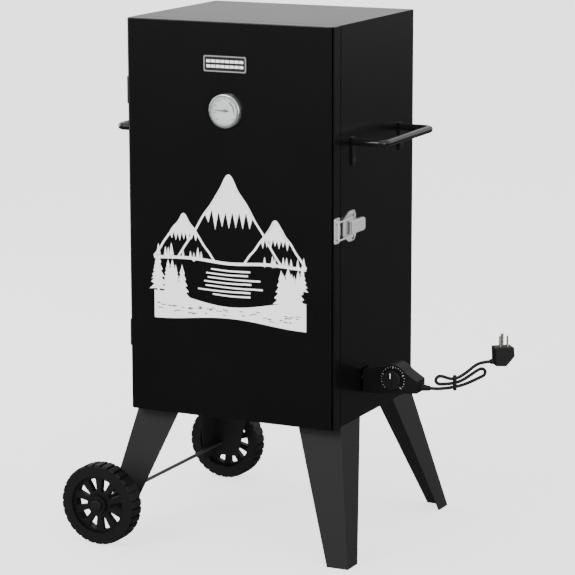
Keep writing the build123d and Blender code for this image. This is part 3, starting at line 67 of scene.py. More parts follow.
# ------------------------------------------------------------------ node trees
class Value:
    """An output socket that takes part in Python arithmetic."""

    def __init__(self, nodes: "Nodes", socket: bpy.types.NodeSocket) -> None:
        """Keep the socket and the builder of its tree."""
        self.nodes = nodes
        self.socket = socket

    def _math(self, operation: str, first: "Operand", second: "Operand") -> "Value":
        """Join two operands with one Math node."""
        settings = {"operation": operation}
        return self.nodes.add("ShaderNodeMath", settings, {0: first, 1: second})

    def __add__(self, other: "Operand") -> "Value":
        """Add a number or a socket."""
        return self._math("ADD", self, other)

    def __radd__(self, other: "Operand") -> "Value":
        """Add this socket to a number."""
        return self._math("ADD", other, self)

    def __sub__(self, other: "Operand") -> "Value":
        """Take a number or a socket away."""
        return self._math("SUBTRACT", self, other)

    def __mul__(self, other: "Operand") -> "Value":
        """Multiply by a number or a socket."""
        return self._math("MULTIPLY", self, other)

    def __rmul__(self, other: "Operand") -> "Value":
        """Multiply a number by this socket."""
        return self._math("MULTIPLY", other, self)

    def __truediv__(self, other: "Operand") -> "Value":
        """Divide by a number or a socket."""
        return self._math("DIVIDE", self, other)

    def limited(self) -> "Value":
        """Keep the value between 0 and 1."""
        return self.nodes.add("ShaderNodeClamp", {}, {"Value": self})


Operand = Union[Value, float]


class Nodes:
    """Adds nodes to one shader, world or geometry tree."""

    def __init__(self, tree: bpy.types.NodeTree) -> None:
        """Empty the tree and keep it."""
        self.tree = tree
        tree.nodes.clear()

    def add(self, kind: str, settings: dict | None = None, inputs: dict | None = None,
            output: int | str = 0) -> Value:
        """Add one node.

        Args:
            kind: the node's type.
            settings: its properties, set before anything else. stops gives a ramp's stops.
            inputs: a value or a socket for each input, by name or number.
            output: the output to hand back.

        Returns:
            The chosen output.
        """
        node = self.tree.nodes.new(kind)
        for name, setting in (settings or {}).items():
            if name == "stops":
                self._set_stops(node.color_ramp, setting)
            else:
                setattr(node, name, setting)
        for key, value in (inputs or {}).items():
            self.feed(node.inputs[key], value)
        return Value(self, node.outputs[output] if len(node.outputs) else None)

    def feed(self, socket: bpy.types.NodeSocket, value: object) -> None:
        """Link a socket to another, or set it."""
        if isinstance(value, Value):
            self.tree.links.new(value.socket, socket)
        else:
            socket.default_value = value

    def mix(self, factor: Operand, low: Colour, high: Colour) -> Value:
        """Blend two colours.

        Args:
            factor: 0 gives low and 1 gives high.
            low: the first colour.
            high: the second colour.

        Returns:
            The blended colour.
        """
        inputs = {0: factor, 6: (*low, 1.0), 7: (*high, 1.0)}
        return self.add("ShaderNodeMix", {"data_type": "RGBA"}, inputs, 2)

    @staticmethod
    def _set_stops(ramp: bpy.types.ColorRamp, stops: Sequence[Point]) -> None:
        """Give a ramp grey stops, each a place and a value."""
        while len(ramp.elements) < len(stops):
            ramp.elements.new(1.0)
        for element, (place, grey) in zip(ramp.elements, stops):
            element.position = place
            element.color = (grey, grey, grey, 1.0)


# ------------------------------------------------------------------ finishes
class Grain(Enum):
    """The fine surface of a finish."""

    PEEL = "the faint ripple of sprayed and baked enamel"
    STIPPLE = "the matt grain of a moulding"
    BRUSHED = "fine lines along one axis"
    SPANGLE = "crystals of hot-dipped zinc"
    POLISHED = "plating with hairline scratches"
    SCALE = "oxidised steel"


@dataclass(frozen=True)
class Finish:
    """A surface finish.

    colour is linear, relief is the depth of the grain in metres, pitch is the number of
    grains in a metre, and mottle is how far the colour drifts either way.
    """

    slot: str
    colour: Colour
    roughness: float
    grain: Grain
    metallic: float = 0.0
    specular: float = 0.5
    coat: float = 0.0
    relief: float = 0.00003
    pitch: float = 900.0
    mottle: float = 0.12
    drift: float = 7.0

    def _height(self, nodes: Nodes, place: Value) -> Value:
        """Height of the grain at a place.

        Args:
            nodes: the material's tree.
            place: Object coordinates.

        Returns:
            The height, from 0 to 1.
        """
        def noise(where: Value, pitch: float, detail: float = 3.0) -> Value:
            """Noise of a given pitch."""
            return nodes.add("ShaderNodeTexNoise", {},
                             {"Vector": where, "Scale": pitch, "Detail": detail})

        if self.grain is Grain.PEEL:
            return 0.7 * noise(place, self.pitch, 1.0) + 0.3 * noise(place, self.pitch / 9)
        if self.grain is Grain.STIPPLE:
            cells = nodes.add("ShaderNodeTexVoronoi", {}, {"Vector": place, "Scale": self.pitch})
            return cells * 0.8 + 0.2 * noise(place, self.pitch * 2)
        if self.grain is Grain.SPANGLE:
            cells = nodes.add("ShaderNodeTexVoronoi", {"feature": "F1"},
                              {"Vector": place, "Scale": self.pitch}, "Color")
            return 0.6 * cells + 0.4 * noise(place, self.pitch * 8)
        if self.grain is Grain.SCALE:
            return noise(place, self.pitch, 6.0)
        stretch = (1.0, 1.0, 0.03) if self.grain is Grain.BRUSHED else (0.15, 1.0, 0.6)
        lines = nodes.add("ShaderNodeMapping", {}, {"Vector": place, "Scale": stretch})
        return noise(lines, self.pitch, 2.0)

    @functools.cache
    def material(self) -> bpy.types.Material:
        """Build the finish once and hand back its material."""
        made = bpy.data.materials.new(self.slot)
        made.use_nodes = True
        nodes = Nodes(made.node_tree)
        place = nodes.add("ShaderNodeTexCoord", output="Object")
        cloud = nodes.add("ShaderNodeTexNoise", {},
                          {"Vector": place, "Scale": self.drift, "Detail": 4.0})
        height = self._height(nodes, place)
        shade = (0.65 * cloud + 0.35 * height).limited()
        dark = tuple(c * (1 - self.mottle) for c in self.colour)
        light = tuple(min(c * (1 + self.mottle), 1.0) for c in self.colour)
        gloss = self.roughness * (0.8 + 0.28 * cloud + 0.12 * height)
        bump = nodes.add("ShaderNodeBump", {},
                         {"Strength": 1.0, "Distance": self.relief, "Height": height})
        shader = nodes.add("ShaderNodeBsdfPrincipled", {}, {
            "Base Color": nodes.mix(shade, dark, light),
            "Roughness": gloss.limited(),
            "Metallic": self.metallic,
            "Specular IOR Level": self.specular,
            "Coat Weight": self.coat,
            "Coat Roughness": 0.08,
            "Normal": bump,
        })
        nodes.add("ShaderNodeOutputMaterial", {}, {"Surface": shader})
        return made


@dataclass(frozen=True)
class Glass:
    """Clear window glass that shows what lies behind it; its whitish colour is let through as a
    painted sheen, faint face-on and stronger at a slant.
    """

    slot: str = "clear_glass"
    face_sheen: float = 0.05
    edge: float = 0.5

    @functools.cache
    def material(self) -> bpy.types.Material:
        """Build the glass once and hand back its material."""
        made = bpy.data.materials.new(self.slot)
        made.use_nodes = True
        nodes = Nodes(made.node_tree)
        slant = nodes.add("ShaderNodeLayerWeight", {}, {"Blend": 0.3}, "Fresnel")
        shader = nodes.add("ShaderNodeBsdfPrincipled", {}, {
            "Base Color": (0.9, 0.95, 0.95, 1.0),
            "Roughness": 0.03,
            # Painted sheen: the alpha lets the whitish base colour show, faintly face-on and
            # more at a slant.
            "Alpha": (self.face_sheen + self.edge * slant).limited(),
        })
        nodes.add("ShaderNodeOutputMaterial", {}, {"Surface": shader})
        return made


@dataclass(frozen=True)
class Braid:
    """Knitted glass-fibre rope, its plaits laid out on the rope's own UV map."""

    slot: str = "gasket_cord"
    dark: Colour = (0.035, 0.034, 0.032)
    light: Colour = (0.16, 0.155, 0.145)
    lean: float = 38.0
    relief: float = 0.0008

    @functools.cache
    def material(self) -> bpy.types.Material:
        """Build the braid once and hand back its material."""
        made = bpy.data.materials.new(self.slot)
        made.use_nodes = True
        nodes = Nodes(made.node_tree)
        place = nodes.add("ShaderNodeTexCoord", output="UV")
        plaits = []
        for side in (-1, 1):
            turned = nodes.add("ShaderNodeMapping", {}, {
                "Vector": place, "Rotation": (0.0, 0.0, side * math.radians(self.lean))})
            plaits.append(nodes.add("ShaderNodeTexWave", {},
                                    {"Vector": turned, "Scale": 1.3, "Distortion": 1.2}))
        plait = plaits[0] * plaits[1]
        bump = nodes.add("ShaderNodeBump", {},
                         {"Strength": 1.0, "Distance": self.relief, "Height": plait})
        shader = nodes.add("ShaderNodeBsdfPrincipled", {}, {
            "Base Color": nodes.mix(plait, self.dark, self.light),
            "Roughness": 0.9, "Specular IOR Level": 0.2, "Normal": bump})
        nodes.add("ShaderNodeOutputMaterial", {}, {"Surface": shader})
        return made


AnyFinish = Union[Finish, Glass, Braid]

ENAMEL = Finish("black_enamel", (0.0021, 0.0021, 0.0023), 0.24, Grain.PEEL, specular=0.4,
                coat=0.1, relief=0.000012, pitch=650)
LEG_PAINT = Finish("leg_paint", (0.0065, 0.0065, 0.007), 0.42, Grain.PEEL, specular=0.35,
                   relief=0.00003, pitch=800)
GALVANISED = Finish("galvanised", (0.46, 0.47, 0.48), 0.36, Grain.SPANGLE, metallic=1.0,
                    relief=0.000015, pitch=95, mottle=0.18)
GRATE_CHROME = Finish("grate_chrome", (0.72, 0.72, 0.73), 0.16, Grain.POLISHED, metallic=1.0,
                      relief=0.00001, pitch=500)
PAN_ENAMEL = Finish("pan_enamel", (0.011, 0.011, 0.013), 0.2, Grain.PEEL, coat=0.5,
                    relief=0.00002, pitch=420)
ELEMENT = Finish("element_steel", (0.11, 0.105, 0.1), 0.5, Grain.SCALE, metallic=0.9,
                 relief=0.00006, pitch=700, mottle=0.35)
ZINC = Finish("zinc", (0.55, 0.55, 0.54), 0.3, Grain.POLISHED, metallic=1.0,
              relief=0.00001, pitch=700)
LATCH_CHROME = Finish("latch_chrome", (0.74, 0.74, 0.75), 0.3, Grain.POLISHED, metallic=0.6,
                      relief=0.000008, pitch=650, mottle=0.05)
BEZEL_STEEL = Finish("latch_chrome", (0.82, 0.82, 0.83), 0.2, Grain.POLISHED, metallic=0.9,
                     relief=0.000008, pitch=650, mottle=0.05)
AXLE_STEEL = Finish("zinc", (0.09, 0.09, 0.092), 0.38, Grain.POLISHED, metallic=0.8,
                    relief=0.00001, pitch=700)
CAP_BLACK = Finish("zinc", (0.007, 0.007, 0.0075), 0.4, Grain.STIPPLE, specular=0.3,
                   relief=0.00002, pitch=1400)
PRONG_NICKEL = Finish("prong_nickel", (0.68, 0.66, 0.6), 0.28, Grain.BRUSHED, metallic=1.0,
                      relief=0.00001, pitch=900)
DIAL_WHITE = Finish("dial_white", (0.62, 0.63, 0.63), 0.45, Grain.PEEL, relief=0.000004,
                    pitch=900, mottle=0.03)
NEEDLE_BLACK = Finish("needle_black", (0.012, 0.012, 0.012), 0.4, Grain.PEEL, relief=0.000004)
PLATE_BLACK = Finish("plate_silver", (0.012, 0.012, 0.013), 0.3, Grain.BRUSHED,
                     relief=0.00001, pitch=1500)
PLATE_SILVER = Finish("plate_silver", (0.5, 0.5, 0.51), 0.32, Grain.BRUSHED, metallic=0.6,
                      relief=0.00001, pitch=1500, mottle=0.06)
HANDLE_GLOSS = Finish("handle_gloss", (0.005, 0.005, 0.0055), 0.2, Grain.PEEL, coat=0.25,
                      relief=0.00001, pitch=500)
WHEEL_PLASTIC = Finish("wheel_plastic", (0.005, 0.005, 0.0054), 0.5, Grain.STIPPLE,
                       specular=0.25, relief=0.00005, pitch=1400)
CONTROLLER_PLASTIC = Finish("controller_plastic", (0.005, 0.005, 0.0054), 0.5,
                            Grain.STIPPLE, specular=0.2, relief=0.00003, pitch=2100)
CERAMIC = Finish("ceramic_white", (0.62, 0.6, 0.55), 0.35, Grain.PEEL, relief=0.00002,
                 pitch=500)
DIAL_GREY = Finish("dial_grey", (0.006, 0.006, 0.0065), 0.42, Grain.STIPPLE, specular=0.3,
                   relief=0.00002, pitch=1800)
RUBBER = Finish("cord_rubber", (0.006, 0.006, 0.0064), 0.52, Grain.STIPPLE, specular=0.25,
                relief=0.00002, pitch=2600)
PRINT_WHITE = Finish("dial_white", (0.93, 0.93, 0.93), 0.5, Grain.PEEL, specular=0.3,
                     relief=0.00001, pitch=1100, mottle=0.04, drift=30.0)
MARK_BLACK = Finish("black_enamel", (0.01, 0.01, 0.011), 0.45, Grain.PEEL, specular=0.3,
                    relief=0.00001, pitch=1100)

DRESS: dict[AnyFinish, tuple[str, ...]] = {
    ENAMEL: ("side_panel_left", "side_panel_right", "back_panel", "top_panel",
             "bottom_panel", "front_frame", "door_skin"),
    LEG_PAINT: ("leg_front_left", "leg_front_right", "leg_rear_left", "leg_rear_right"),
    GALVANISED: ("door_liner", "rack_support_left", "rack_support_right", "chip_tray_stand",
                 "element_flange"),
    GRATE_CHROME: ("cooking_grate_1", "cooking_grate_2", "cooking_grate_3"),
    PAN_ENAMEL: ("water_pan", "chip_tray", "drip_tray"),
    ELEMENT: ("heating_element",),
    ZINC: ("hinge_leaves_cabinet", "hinge_leaves_door", "hinge_pins", "leg_fasteners",
           "thermometer_nut", "cabinet_rivets", "thermometer_stem", "controller_probe"),
    AXLE_STEEL: ("axle",),
    CAP_BLACK: ("axle_caps", "axle_spacers", "handle_bolts"),
    BEZEL_STEEL: ("thermometer_case", "door_rivets"),
    LATCH_CHROME: ("latch_base", "latch_pivot_pin", "latch_lever", "latch_bail",
                   "latch_keeper"),
    PRONG_NICKEL: ("plug_prongs",),
    DIAL_WHITE: ("thermometer_dial",),
    NEEDLE_BLACK: ("thermometer_needle",),
    Glass(): ("thermometer_lens",),
    PLATE_BLACK: ("name_plate",),
    HANDLE_GLOSS: ("side_handle_left", "side_handle_right"),
    WHEEL_PLASTIC: ("wheel_front", "wheel_rear"),
    CONTROLLER_PLASTIC: ("controller_front_shell", "controller_rear_shell"),
    CERAMIC: ("contact_block",),
    DIAL_GREY: ("controller_dial",),
    RUBBER: ("strain_relief", "plug_body", "cord_tie"),
    Braid(): ("door_gasket",),
}


def dress_nodes() -> None:
    """Give each node listed in DRESS its finish, and log the nodes left without one."""
    left = set(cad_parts)
    for finish, names in DRESS.items():
        for name in names:
            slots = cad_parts[name].material_slots
            for slot in slots:
                slot.material = finish.material()
            left.discard(name)
    log.info("frame nodes without a finish here: %s", sorted(left))


# ------------------------------------------------------------------ pieces
def settle(piece: bpy.types.Object, body: str, slot: str,
           replaced: Iterable[str] = ()) -> bpy.types.Object:
    """Hand a finished piece to the frame and report it.

    Args:
        piece: the object, at the origin.
        body: the body that carries it.
        slot: not used.
        replaced: nodes of the frame that it stands for.

    Returns:
        The same piece.
    """
    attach(piece, body)
    if replaced:
        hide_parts(*replaced)
    log.info("%s rides on %s", piece.name, body)
    return piece


def linked(name: str, data: bpy.types.ID) -> bpy.types.Object:
    """Put data in the scene as an object at the origin."""
    made = bpy.data.objects.new(name, data)
    bpy.context.scene.collection.objects.link(made)
    return made


def middle_of(node: str) -> Vector:
    """Middle of a node's box."""
    low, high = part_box(node)
    return (low + high) / 2


def front_of(node: str) -> Vector:
    """Middle of the face of a node's box that looks forwards."""
    place = middle_of(node)
    place.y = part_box(node)[0].y
    return place


@dataclass
class Relief:
    """Thin raised shapes on a face that looks forwards, gathered into one mesh.

    Outlines are in millimetres to the right of and above the origin. Each shape stands a
    hair higher than the one before, so that two that overlap never share a face.
    """

    origin: Vector
    height: float = 0.00012
    bite: float = 0.00005
    layer: float = 4e-7
    corners: list[Vector] = field(default_factory=list)
    faces: list[tuple[int, ...]] = field(default_factory=list)
    count: int = 0

    def shape(self, outline: Sequence[Point]) -> None:
        """Raise one closed outline."""
        rise = self.height + self.layer * self.count
        first = len(self.corners)
        sides = len(outline)
        for depth in (-self.bite, rise):
            self.corners += [self.origin + Vector((u * MM, -depth, v * MM)) for u, v in outline]
        flat = [Vector((u, v, 0.0)) for u, v in outline]
        for a, b, c in tessellate_polygon([flat]):
            self.faces.append((first + sides + a, first + sides + b, first + sides + c))
            self.faces.append((first + c, first + b, first + a))
        for k in range(sides):
            after = (k + 1) % sides
            self.faces.append((first + k, first + after, first + sides + after,
                               first + sides + k))
        self.count += 1

    def stroke(self, points: Sequence[Point], start: float, end: float) -> None:
        """Raise a smooth line that changes width from start to end."""
        line = smooth(points)
        left, right = [], []
        for k, here in enumerate(line):
            along = line[min(k + 1, len(line) - 1)] - line[max(k - 1, 0)]
            across = Vector((-along.y, along.x)).normalized()
            half = (start + (end - start) * k / (len(line) - 1)) / 2
            left.append(tuple(here + across * half))
            right.append(tuple(here - across * half))
        self.shape(right + left[::-1])

    def piece(self, name: str, finish: AnyFinish) -> bpy.types.Object:
        """Make the mesh.

        Args:
            name: the piece's name.
            finish: its finish.

        Returns:
            The piece, not yet riding on anything.
        """
        mesh = bpy.data.meshes.new(name)
        mesh.from_pydata(self.corners, [], self.faces)
        turn_outwards(mesh)
        mesh.materials.append(finish.material())
        return linked(name, mesh)


def turn_outwards(mesh: bpy.types.Mesh) -> None:
    """Point every face of a mesh of closed shells outwards."""
    work = bmesh.new()
    work.from_mesh(mesh)
    bmesh.ops.recalc_face_normals(work, faces=work.faces)
    work.to_mesh(mesh)
    work.free()


def smooth(points: Sequence[Point], steps: int = 5) -> list[Vector]:
    """Run a smooth curve through points.

    Args:
        points: the points, in order.
        steps: how many spans lie between two of them.

    Returns:
        Points of the curve, the first and last included.
    """
    ends = [Vector(p) for p in points]
    ends = [2 * ends[0] - ends[1], *ends, 2 * ends[-1] - ends[-2]]
    line = []
    for k in range(1, len(ends) - 2):
        a, b, c, d = ends[k - 1:k + 3]
        for step in range(steps):
            t = step / steps
            line.append(0.5 * (2 * b + (c - a) * t + (2 * a - 5 * b + 4 * c - d) * t ** 2
                               + (3 * b - a - 3 * c + d) * t ** 3))
    return [*line, ends[-2]]


# ------------------------------------------------------------------ repeated shapes
class Layout(Enum):
    """How copies of a small shape are set out."""

    LINE = "along a straight line"
    ARC = "round an arc that faces forwards"


class Repeater:
    """A Geometry Nodes tree that sets out copies of a small shape."""

    SHARED = {"Shape": "NodeSocketObject", "Count": "NodeSocketInt",
              "Smallest": "NodeSocketFloat", "Largest": "NodeSocketFloat",
              "Sway": "NodeSocketVector", "Seed": "NodeSocketInt",
              "Finish": "NodeSocketMaterial"}
    OWN = {
        Layout.LINE: {"Start": "NodeSocketVector", "End": "NodeSocketVector"},
        Layout.ARC: {"Centre": "NodeSocketVector", "Radius": "NodeSocketFloat",
                     "First Angle": "NodeSocketFloat", "Sweep": "NodeSocketFloat"},
    }

    def __init__(self, layout: Layout) -> None:
        """Build the tree for one layout."""
        self.tree = bpy.data.node_groups.new("Repeat " + layout.value, "GeometryNodeTree")
        self.nodes = Nodes(self.tree)
        self.keys = {}
        for name, kind in {**self.SHARED, **self.OWN[layout]}.items():
            socket = self.tree.interface.new_socket(name, in_out="INPUT", socket_type=kind)
            self.keys[name] = socket.identifier
        self.tree.interface.new_socket("Geometry", in_out="OUTPUT",
                                       socket_type="NodeSocketGeometry")
        places, turn = self._line() if layout is Layout.LINE else self._arc()
        add = self.nodes.add
        sway = add("FunctionNodeRandomValue", {"data_type": "FLOAT_VECTOR"}, {
            0: add("ShaderNodeVectorMath", {"operation": "SCALE"},
                   {0: self.given("Sway"), "Scale": -1.0}),
            1: self.given("Sway"), "Seed": self.given("Seed")})
        moved = add("GeometryNodeSetPosition", {}, {"Geometry": places, "Offset": sway})
        size = add("FunctionNodeRandomValue", {"data_type": "FLOAT"}, {
            2: self.given("Smallest"), 3: self.given("Largest"),
            "Seed": self.given("Seed")}, 1)
        shape = add("GeometryNodeObjectInfo", {"transform_space": "ORIGINAL"},
                    {"Object": self.given("Shape")}, "Geometry")
        copies = add("GeometryNodeInstanceOnPoints", {}, {
            "Points": moved, "Instance": shape, "Rotation": turn, "Scale": size})
        solid = add("GeometryNodeRealizeInstances", {}, {"Geometry": copies})
        dressed = add("GeometryNodeSetMaterial", {},
                      {"Geometry": solid, "Material": self.given("Finish")})
        add("NodeGroupOutput", {}, {"Geometry": dressed})

    def given(self, name: str) -> Value:
        """One of the tree's named inputs."""
        return self.nodes.add("NodeGroupInput", output=name)

    def _line(self) -> tuple[Value, Value]:
        """Points along a line, and how copies turn there."""
        places = self.nodes.add("GeometryNodeMeshLine", {"mode": "END_POINTS"}, {
            "Count": self.given("Count"), "Start Location": self.given("Start"),
            "Offset": self.given("End")})
        return places, self.nodes.add("FunctionNodeEulerToRotation")

    def _arc(self) -> tuple[Value, Value]:
        """Points round an arc, and how copies turn there."""
        add = self.nodes.add
        step = add("GeometryNodeInputIndex") / (self.given("Count") - 1.0)
        angle = self.given("First Angle") + self.given("Sweep") * step
        across = add("ShaderNodeMath", {"operation": "COSINE"}, {0: angle})
        upward = add("ShaderNodeMath", {"operation": "SINE"}, {0: angle})
        radius = self.given("Radius")
        spoke = add("ShaderNodeCombineXYZ", {}, {"X": radius * across, "Z": radius * upward})
        place = add("ShaderNodeVectorMath", {"operation": "ADD"},
                    {0: self.given("Centre"), 1: spoke})
        line = add("GeometryNodeMeshLine", {}, {"Count": self.given("Count")})
        places = add("GeometryNodeSetPosition", {}, {"Geometry": line, "Position": place})
        euler = add("ShaderNodeCombineXYZ", {}, {"Y": -1.0 * angle})
        return places, add("FunctionNodeEulerToRotation", {}, {"Euler": euler})

    def piece(self, name: str, shape: Relief, finish: Finish, **inputs: object
              ) -> bpy.types.Object:
        """Set out copies of a shape as one plain mesh.

        Args:
            name: the piece's name.
            shape: the shape, drawn at the origin.
            finish: what the copies are made of.
            **inputs: the tree's inputs, by name with _ for a space.

        Returns:
            The piece, not yet riding on anything.
        """
        pattern = shape.piece("pattern", finish)
        host = linked("host", bpy.data.meshes.new("host"))
        modifier = host.modifiers.new("Repeat", "NODES")
        modifier.node_group = self.tree
        given = {"Shape": pattern, "Finish": finish.material(), "Smallest": 1.0,
                 "Largest": 1.0, "Seed": 1, "Sway": (0.0, 0.0, 0.0)}
        given.update({key.replace("_", " "): value for key, value in inputs.items()})
        for key, value in given.items():
            modifier[self.keys[key]] = value
        bpy.context.view_layer.update()
        graph = bpy.context.evaluated_depsgraph_get()
        mesh = bpy.data.meshes.new_from_object(host.evaluated_get(graph), depsgraph=graph)
        mesh.name = name
        for spare in (host, pattern):
            bpy.data.objects.remove(spare)
        return linked(name, mesh)


# ------------------------------------------------------------------ the door's print
@dataclass
class DoorPrint:
    """A plain symmetrical landscape in white: three snowy peaks, a lake and pines.

    Places are millimetres from the middle of the door and from its lower edge.
    """

    peaks: tuple[tuple[Point, float, float], ...] = (
        ((-84, 340), 56, 74),
        ((84, 340), 56, 74),
        ((0, 410), 96, 144),
    )
    half_width: float = 140.0
    ridge: float = 3.6
    snow: float = 0.46
    teeth: int = 7
    tooth: float = 0.16
    notch: float = 0.05
    far_shore: float = 264.0
    water: tuple[float, float] = (210.0, 252.0)
    ripple_rows: int = 7
    bank: tuple[float, float] = (166.0, 190.0)
    bank_rise: float = 18.0
    flecks: int = 44
    seed: int = 14
    origin: Vector = field(init=False)
    white: Relief = field(init=False)
    dark: Relief = field(init=False)
    chance: random.Random = field(init=False)

    def __post_init__(self) -> None:
        """Find the door's lower edge and start the two inks."""
        low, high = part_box("door_skin")
        self.origin = Vector(((low.x + high.x) / 2, low.y, low.z))
        self.white = Relief(self.origin)
        self.dark = Relief(self.origin, height=0.00024)
        self.chance = random.Random(self.seed)

    def slope(self, start: Point, end: Point, spans: int = 6, rough: float = 2.0
              ) -> list[Point]:
        """A rough mountain edge from one point to another."""
        line = [start]
        for k in range(1, spans):
            part = k / spans
            line.append((start[0] + (end[0] - start[0]) * part,
                         start[1] + (end[1] - start[1]) * part
                         + self.chance.uniform(-rough, rough)))
        return [*line, end]

    def mountain(self, top: Point, half: float, fall: float) -> None:
        """Draw a peak with a toothed cap of snow.

        Args:
            top: the summit.
            half: half its width at the foot.
            fall: how far below the summit its foot lies.
        """
        left = self.slope((top[0] - half, top[1] - fall), top)
        right = self.slope(top, (top[0] + half, top[1] - fall))
        self.white.stroke([*left, *right[1:]], self.ridge, self.ridge)
        reach = self.snow * half
        level = top[1] - self.snow * fall
        cap = [top, (top[0] + reach, level)]
        for k in range(1, 2 * self.teeth):
            hang = -self.tooth if k % 2 else self.notch
            cap.append((top[0] + reach * (1 - k / self.teeth),
                        level + hang * fall * self.chance.uniform(0.6, 1.2)))
        cap.append((top[0] - reach, level))
        self.white.shape(cap)

    def bank_top(self, across: float) -> float:
        """Height of the near bank, which rises from the middle to both sides."""
        turn = math.pi * across / self.half_width
        return self.bank[1] + self.bank_rise * (1 - math.cos(turn)) / 2

    def land(self, steps: int = 16) -> None:
        """Draw the far shore and the near bank."""
        half = self.half_width
        self.white.stroke([(-half, self.far_shore), (-half / 2, self.far_shore + 3),
                           (0, self.far_shore - 1), (half / 2, self.far_shore + 3),
                           (half, self.far_shore)], 5.0, 5.0)
        places = [half * (2 * k / steps - 1) for k in range(steps + 1)]
        upper = [(u, self.bank_top(u)) for u in reversed(places)]
        lower = [(u, self.bank[0] + 5 * math.cos(math.pi * u / half)) for u in places]
        self.white.shape([*lower, *upper])

    def stones(self) -> None:
        """Scatter dark flecks on the near bank."""
        chance = self.chance.uniform
        for _ in range(self.flecks):
            start = chance(6 - self.half_width, self.half_width - 14)
            level = chance(self.bank[0] + 7, self.bank[1] - 4)
            length = chance(4, 11)
            self.dark.stroke([(start, level), (start + length / 2, level + chance(-1, 1)),
                              (start + length, level)], chance(1.2, 2.4), 0.8)

    def ripples(self) -> None:
        """Draw level lines on the water."""
        low, high = self.water
        for row in range(self.ripple_rows):
            level = low + (high - low) * row / (self.ripple_rows - 1)
            reach = self.chance.uniform(30, 62)
            middle = self.chance.uniform(-10, 10)
            self.white.stroke([(middle - reach, level), (middle, level - 1.2),
                               (middle + reach, level)], 2.4, 3.0)

    def pine(self, tiers: int = 5, half: float = 0.24) -> Relief:
        """Draw a pine one metre tall, standing at the origin.

        Args:
            tiers: how many rows of branches it has.
            half: half its width at the lowest row.

        Returns:
            The pine.
        """
        right = [(0.03, 0.0), (0.03, 0.12)]
        for tier in range(tiers):
            low = 0.1 + 0.82 * tier / tiers
            wide = half * (1 - 0.86 * tier / tiers)
            right += [(wide, low), (wide * 0.45, low + 0.62 / tiers)]
        outline = [*right, (0.0, 1.0), *[(-u, v) for u, v in reversed(right)]]
        shape = Relief(Vector((0.0, 0.0, 0.0)))
        shape.shape([(u / MM, v / MM) for u, v in outline])
        return shape

    def forests(self) -> None:
        """Stand the same rows of pines at the left and the right."""
        far, near = self.far_shore, self.bank_top(self.half_width) - 8
        rows = (
            ((50, far), (134, far), 13, 0.012, 0.024),
            ((84, near + 16), (134, near + 22), 8, 0.034, 0.048),
            ((70, near - 8), (132, near), 9, 0.044, 0.07),
        )
        repeat = Repeater(Layout.LINE)
        sides = [(side, row) for side in (-1, 1) for row in rows]
        for number, (side, (start, end, count, smallest, largest)) in enumerate(sides, 1):
            ends = [self.origin + Vector((side * u * MM, 0.0, v * MM)) for u, v in (start, end)]
            row = repeat.piece(f"door_print_pines_{number}", self.pine(), PRINT_WHITE,
                               Count=count, Start=ends[0], End=ends[1], Smallest=smallest,
                               Largest=largest, Sway=(0.0022, 0.00006, 0.003),
                               Seed=self.seed + number)
            settle(row, "door", PRINT_WHITE.slot)

    def build(self) -> None:
        """Print the whole landscape."""
        for top, half, fall in self.peaks:
            self.mountain(top, half, fall)
        self.land()
        self.ripples()
        self.stones()
        settle(self.white.piece("door_print", PRINT_WHITE), "door", PRINT_WHITE.slot)
        settle(self.dark.piece("door_print_flecks", MARK_BLACK), "door", MARK_BLACK.slot)
        self.forests()


# ------------------------------------------------------------------ name plate and dials
@dataclass
class NamePlate:
    """A dark plate with a thin bright border and two rows of plain equal bars."""

    margin: float = 1.0
    border: float = 1.8
    corner: float = 3.0
    levels: tuple[float, ...] = (4.2, -4.2)
    bar: float = 4.6
    bars: int = 8
    gap: float = 1.4
    side: float = 5.0

    def ring(self, half_w: float, half_h: float) -> list[Point]:
        """Rounded rectangle, anticlockwise."""
        outline = []
        for quarter in range(4):
            sx = 1 if quarter in (0, 3) else -1
            sy = 1 if quarter < 2 else -1
            for step in range(7):
                angle = math.radians(90 * quarter + 15 * step)
                outline.append((sx * (half_w - self.corner) + self.corner * math.cos(angle),
                                sy * (half_h - self.corner) + self.corner * math.sin(angle)))
        return outline

    def build(self) -> None:
        """Put the border and the bars on the plate."""
        low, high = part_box("name_plate")
        relief = Relief(front_of("name_plate"), height=0.00035)
        bars = Relief(front_of("name_plate"), height=0.0002)
        half_w = (high.x - low.x) / 2 / MM - self.margin
        half_h = (high.z - low.z) / 2 / MM - self.margin
        outer = self.ring(half_w, half_h)
        inner = [(u * (1 - self.border / half_w), v * (1 - self.border / half_h))
                 for u, v in outer]
        for k, corner in enumerate(outer):
            after = (k + 1) % len(outer)
            relief.shape([corner, outer[after], inner[after], inner[k]])
        pitch = (2 * (half_w - self.side) + self.gap) / self.bars
        for level in self.levels:
            for k in range(self.bars):
                left = -half_w + self.side + pitch * k
                right = left + pitch - self.gap
                bars.shape([(left, level - self.bar / 2), (right, level - self.bar / 2),
                            (right, level + self.bar / 2), (left, level + self.bar / 2)])
        settle(relief.piece("name_plate_border", PLATE_SILVER), "door", PLATE_SILVER.slot)
        settle(bars.piece("name_plate_bars", PRINT_WHITE), "door", PRINT_WHITE.slot)


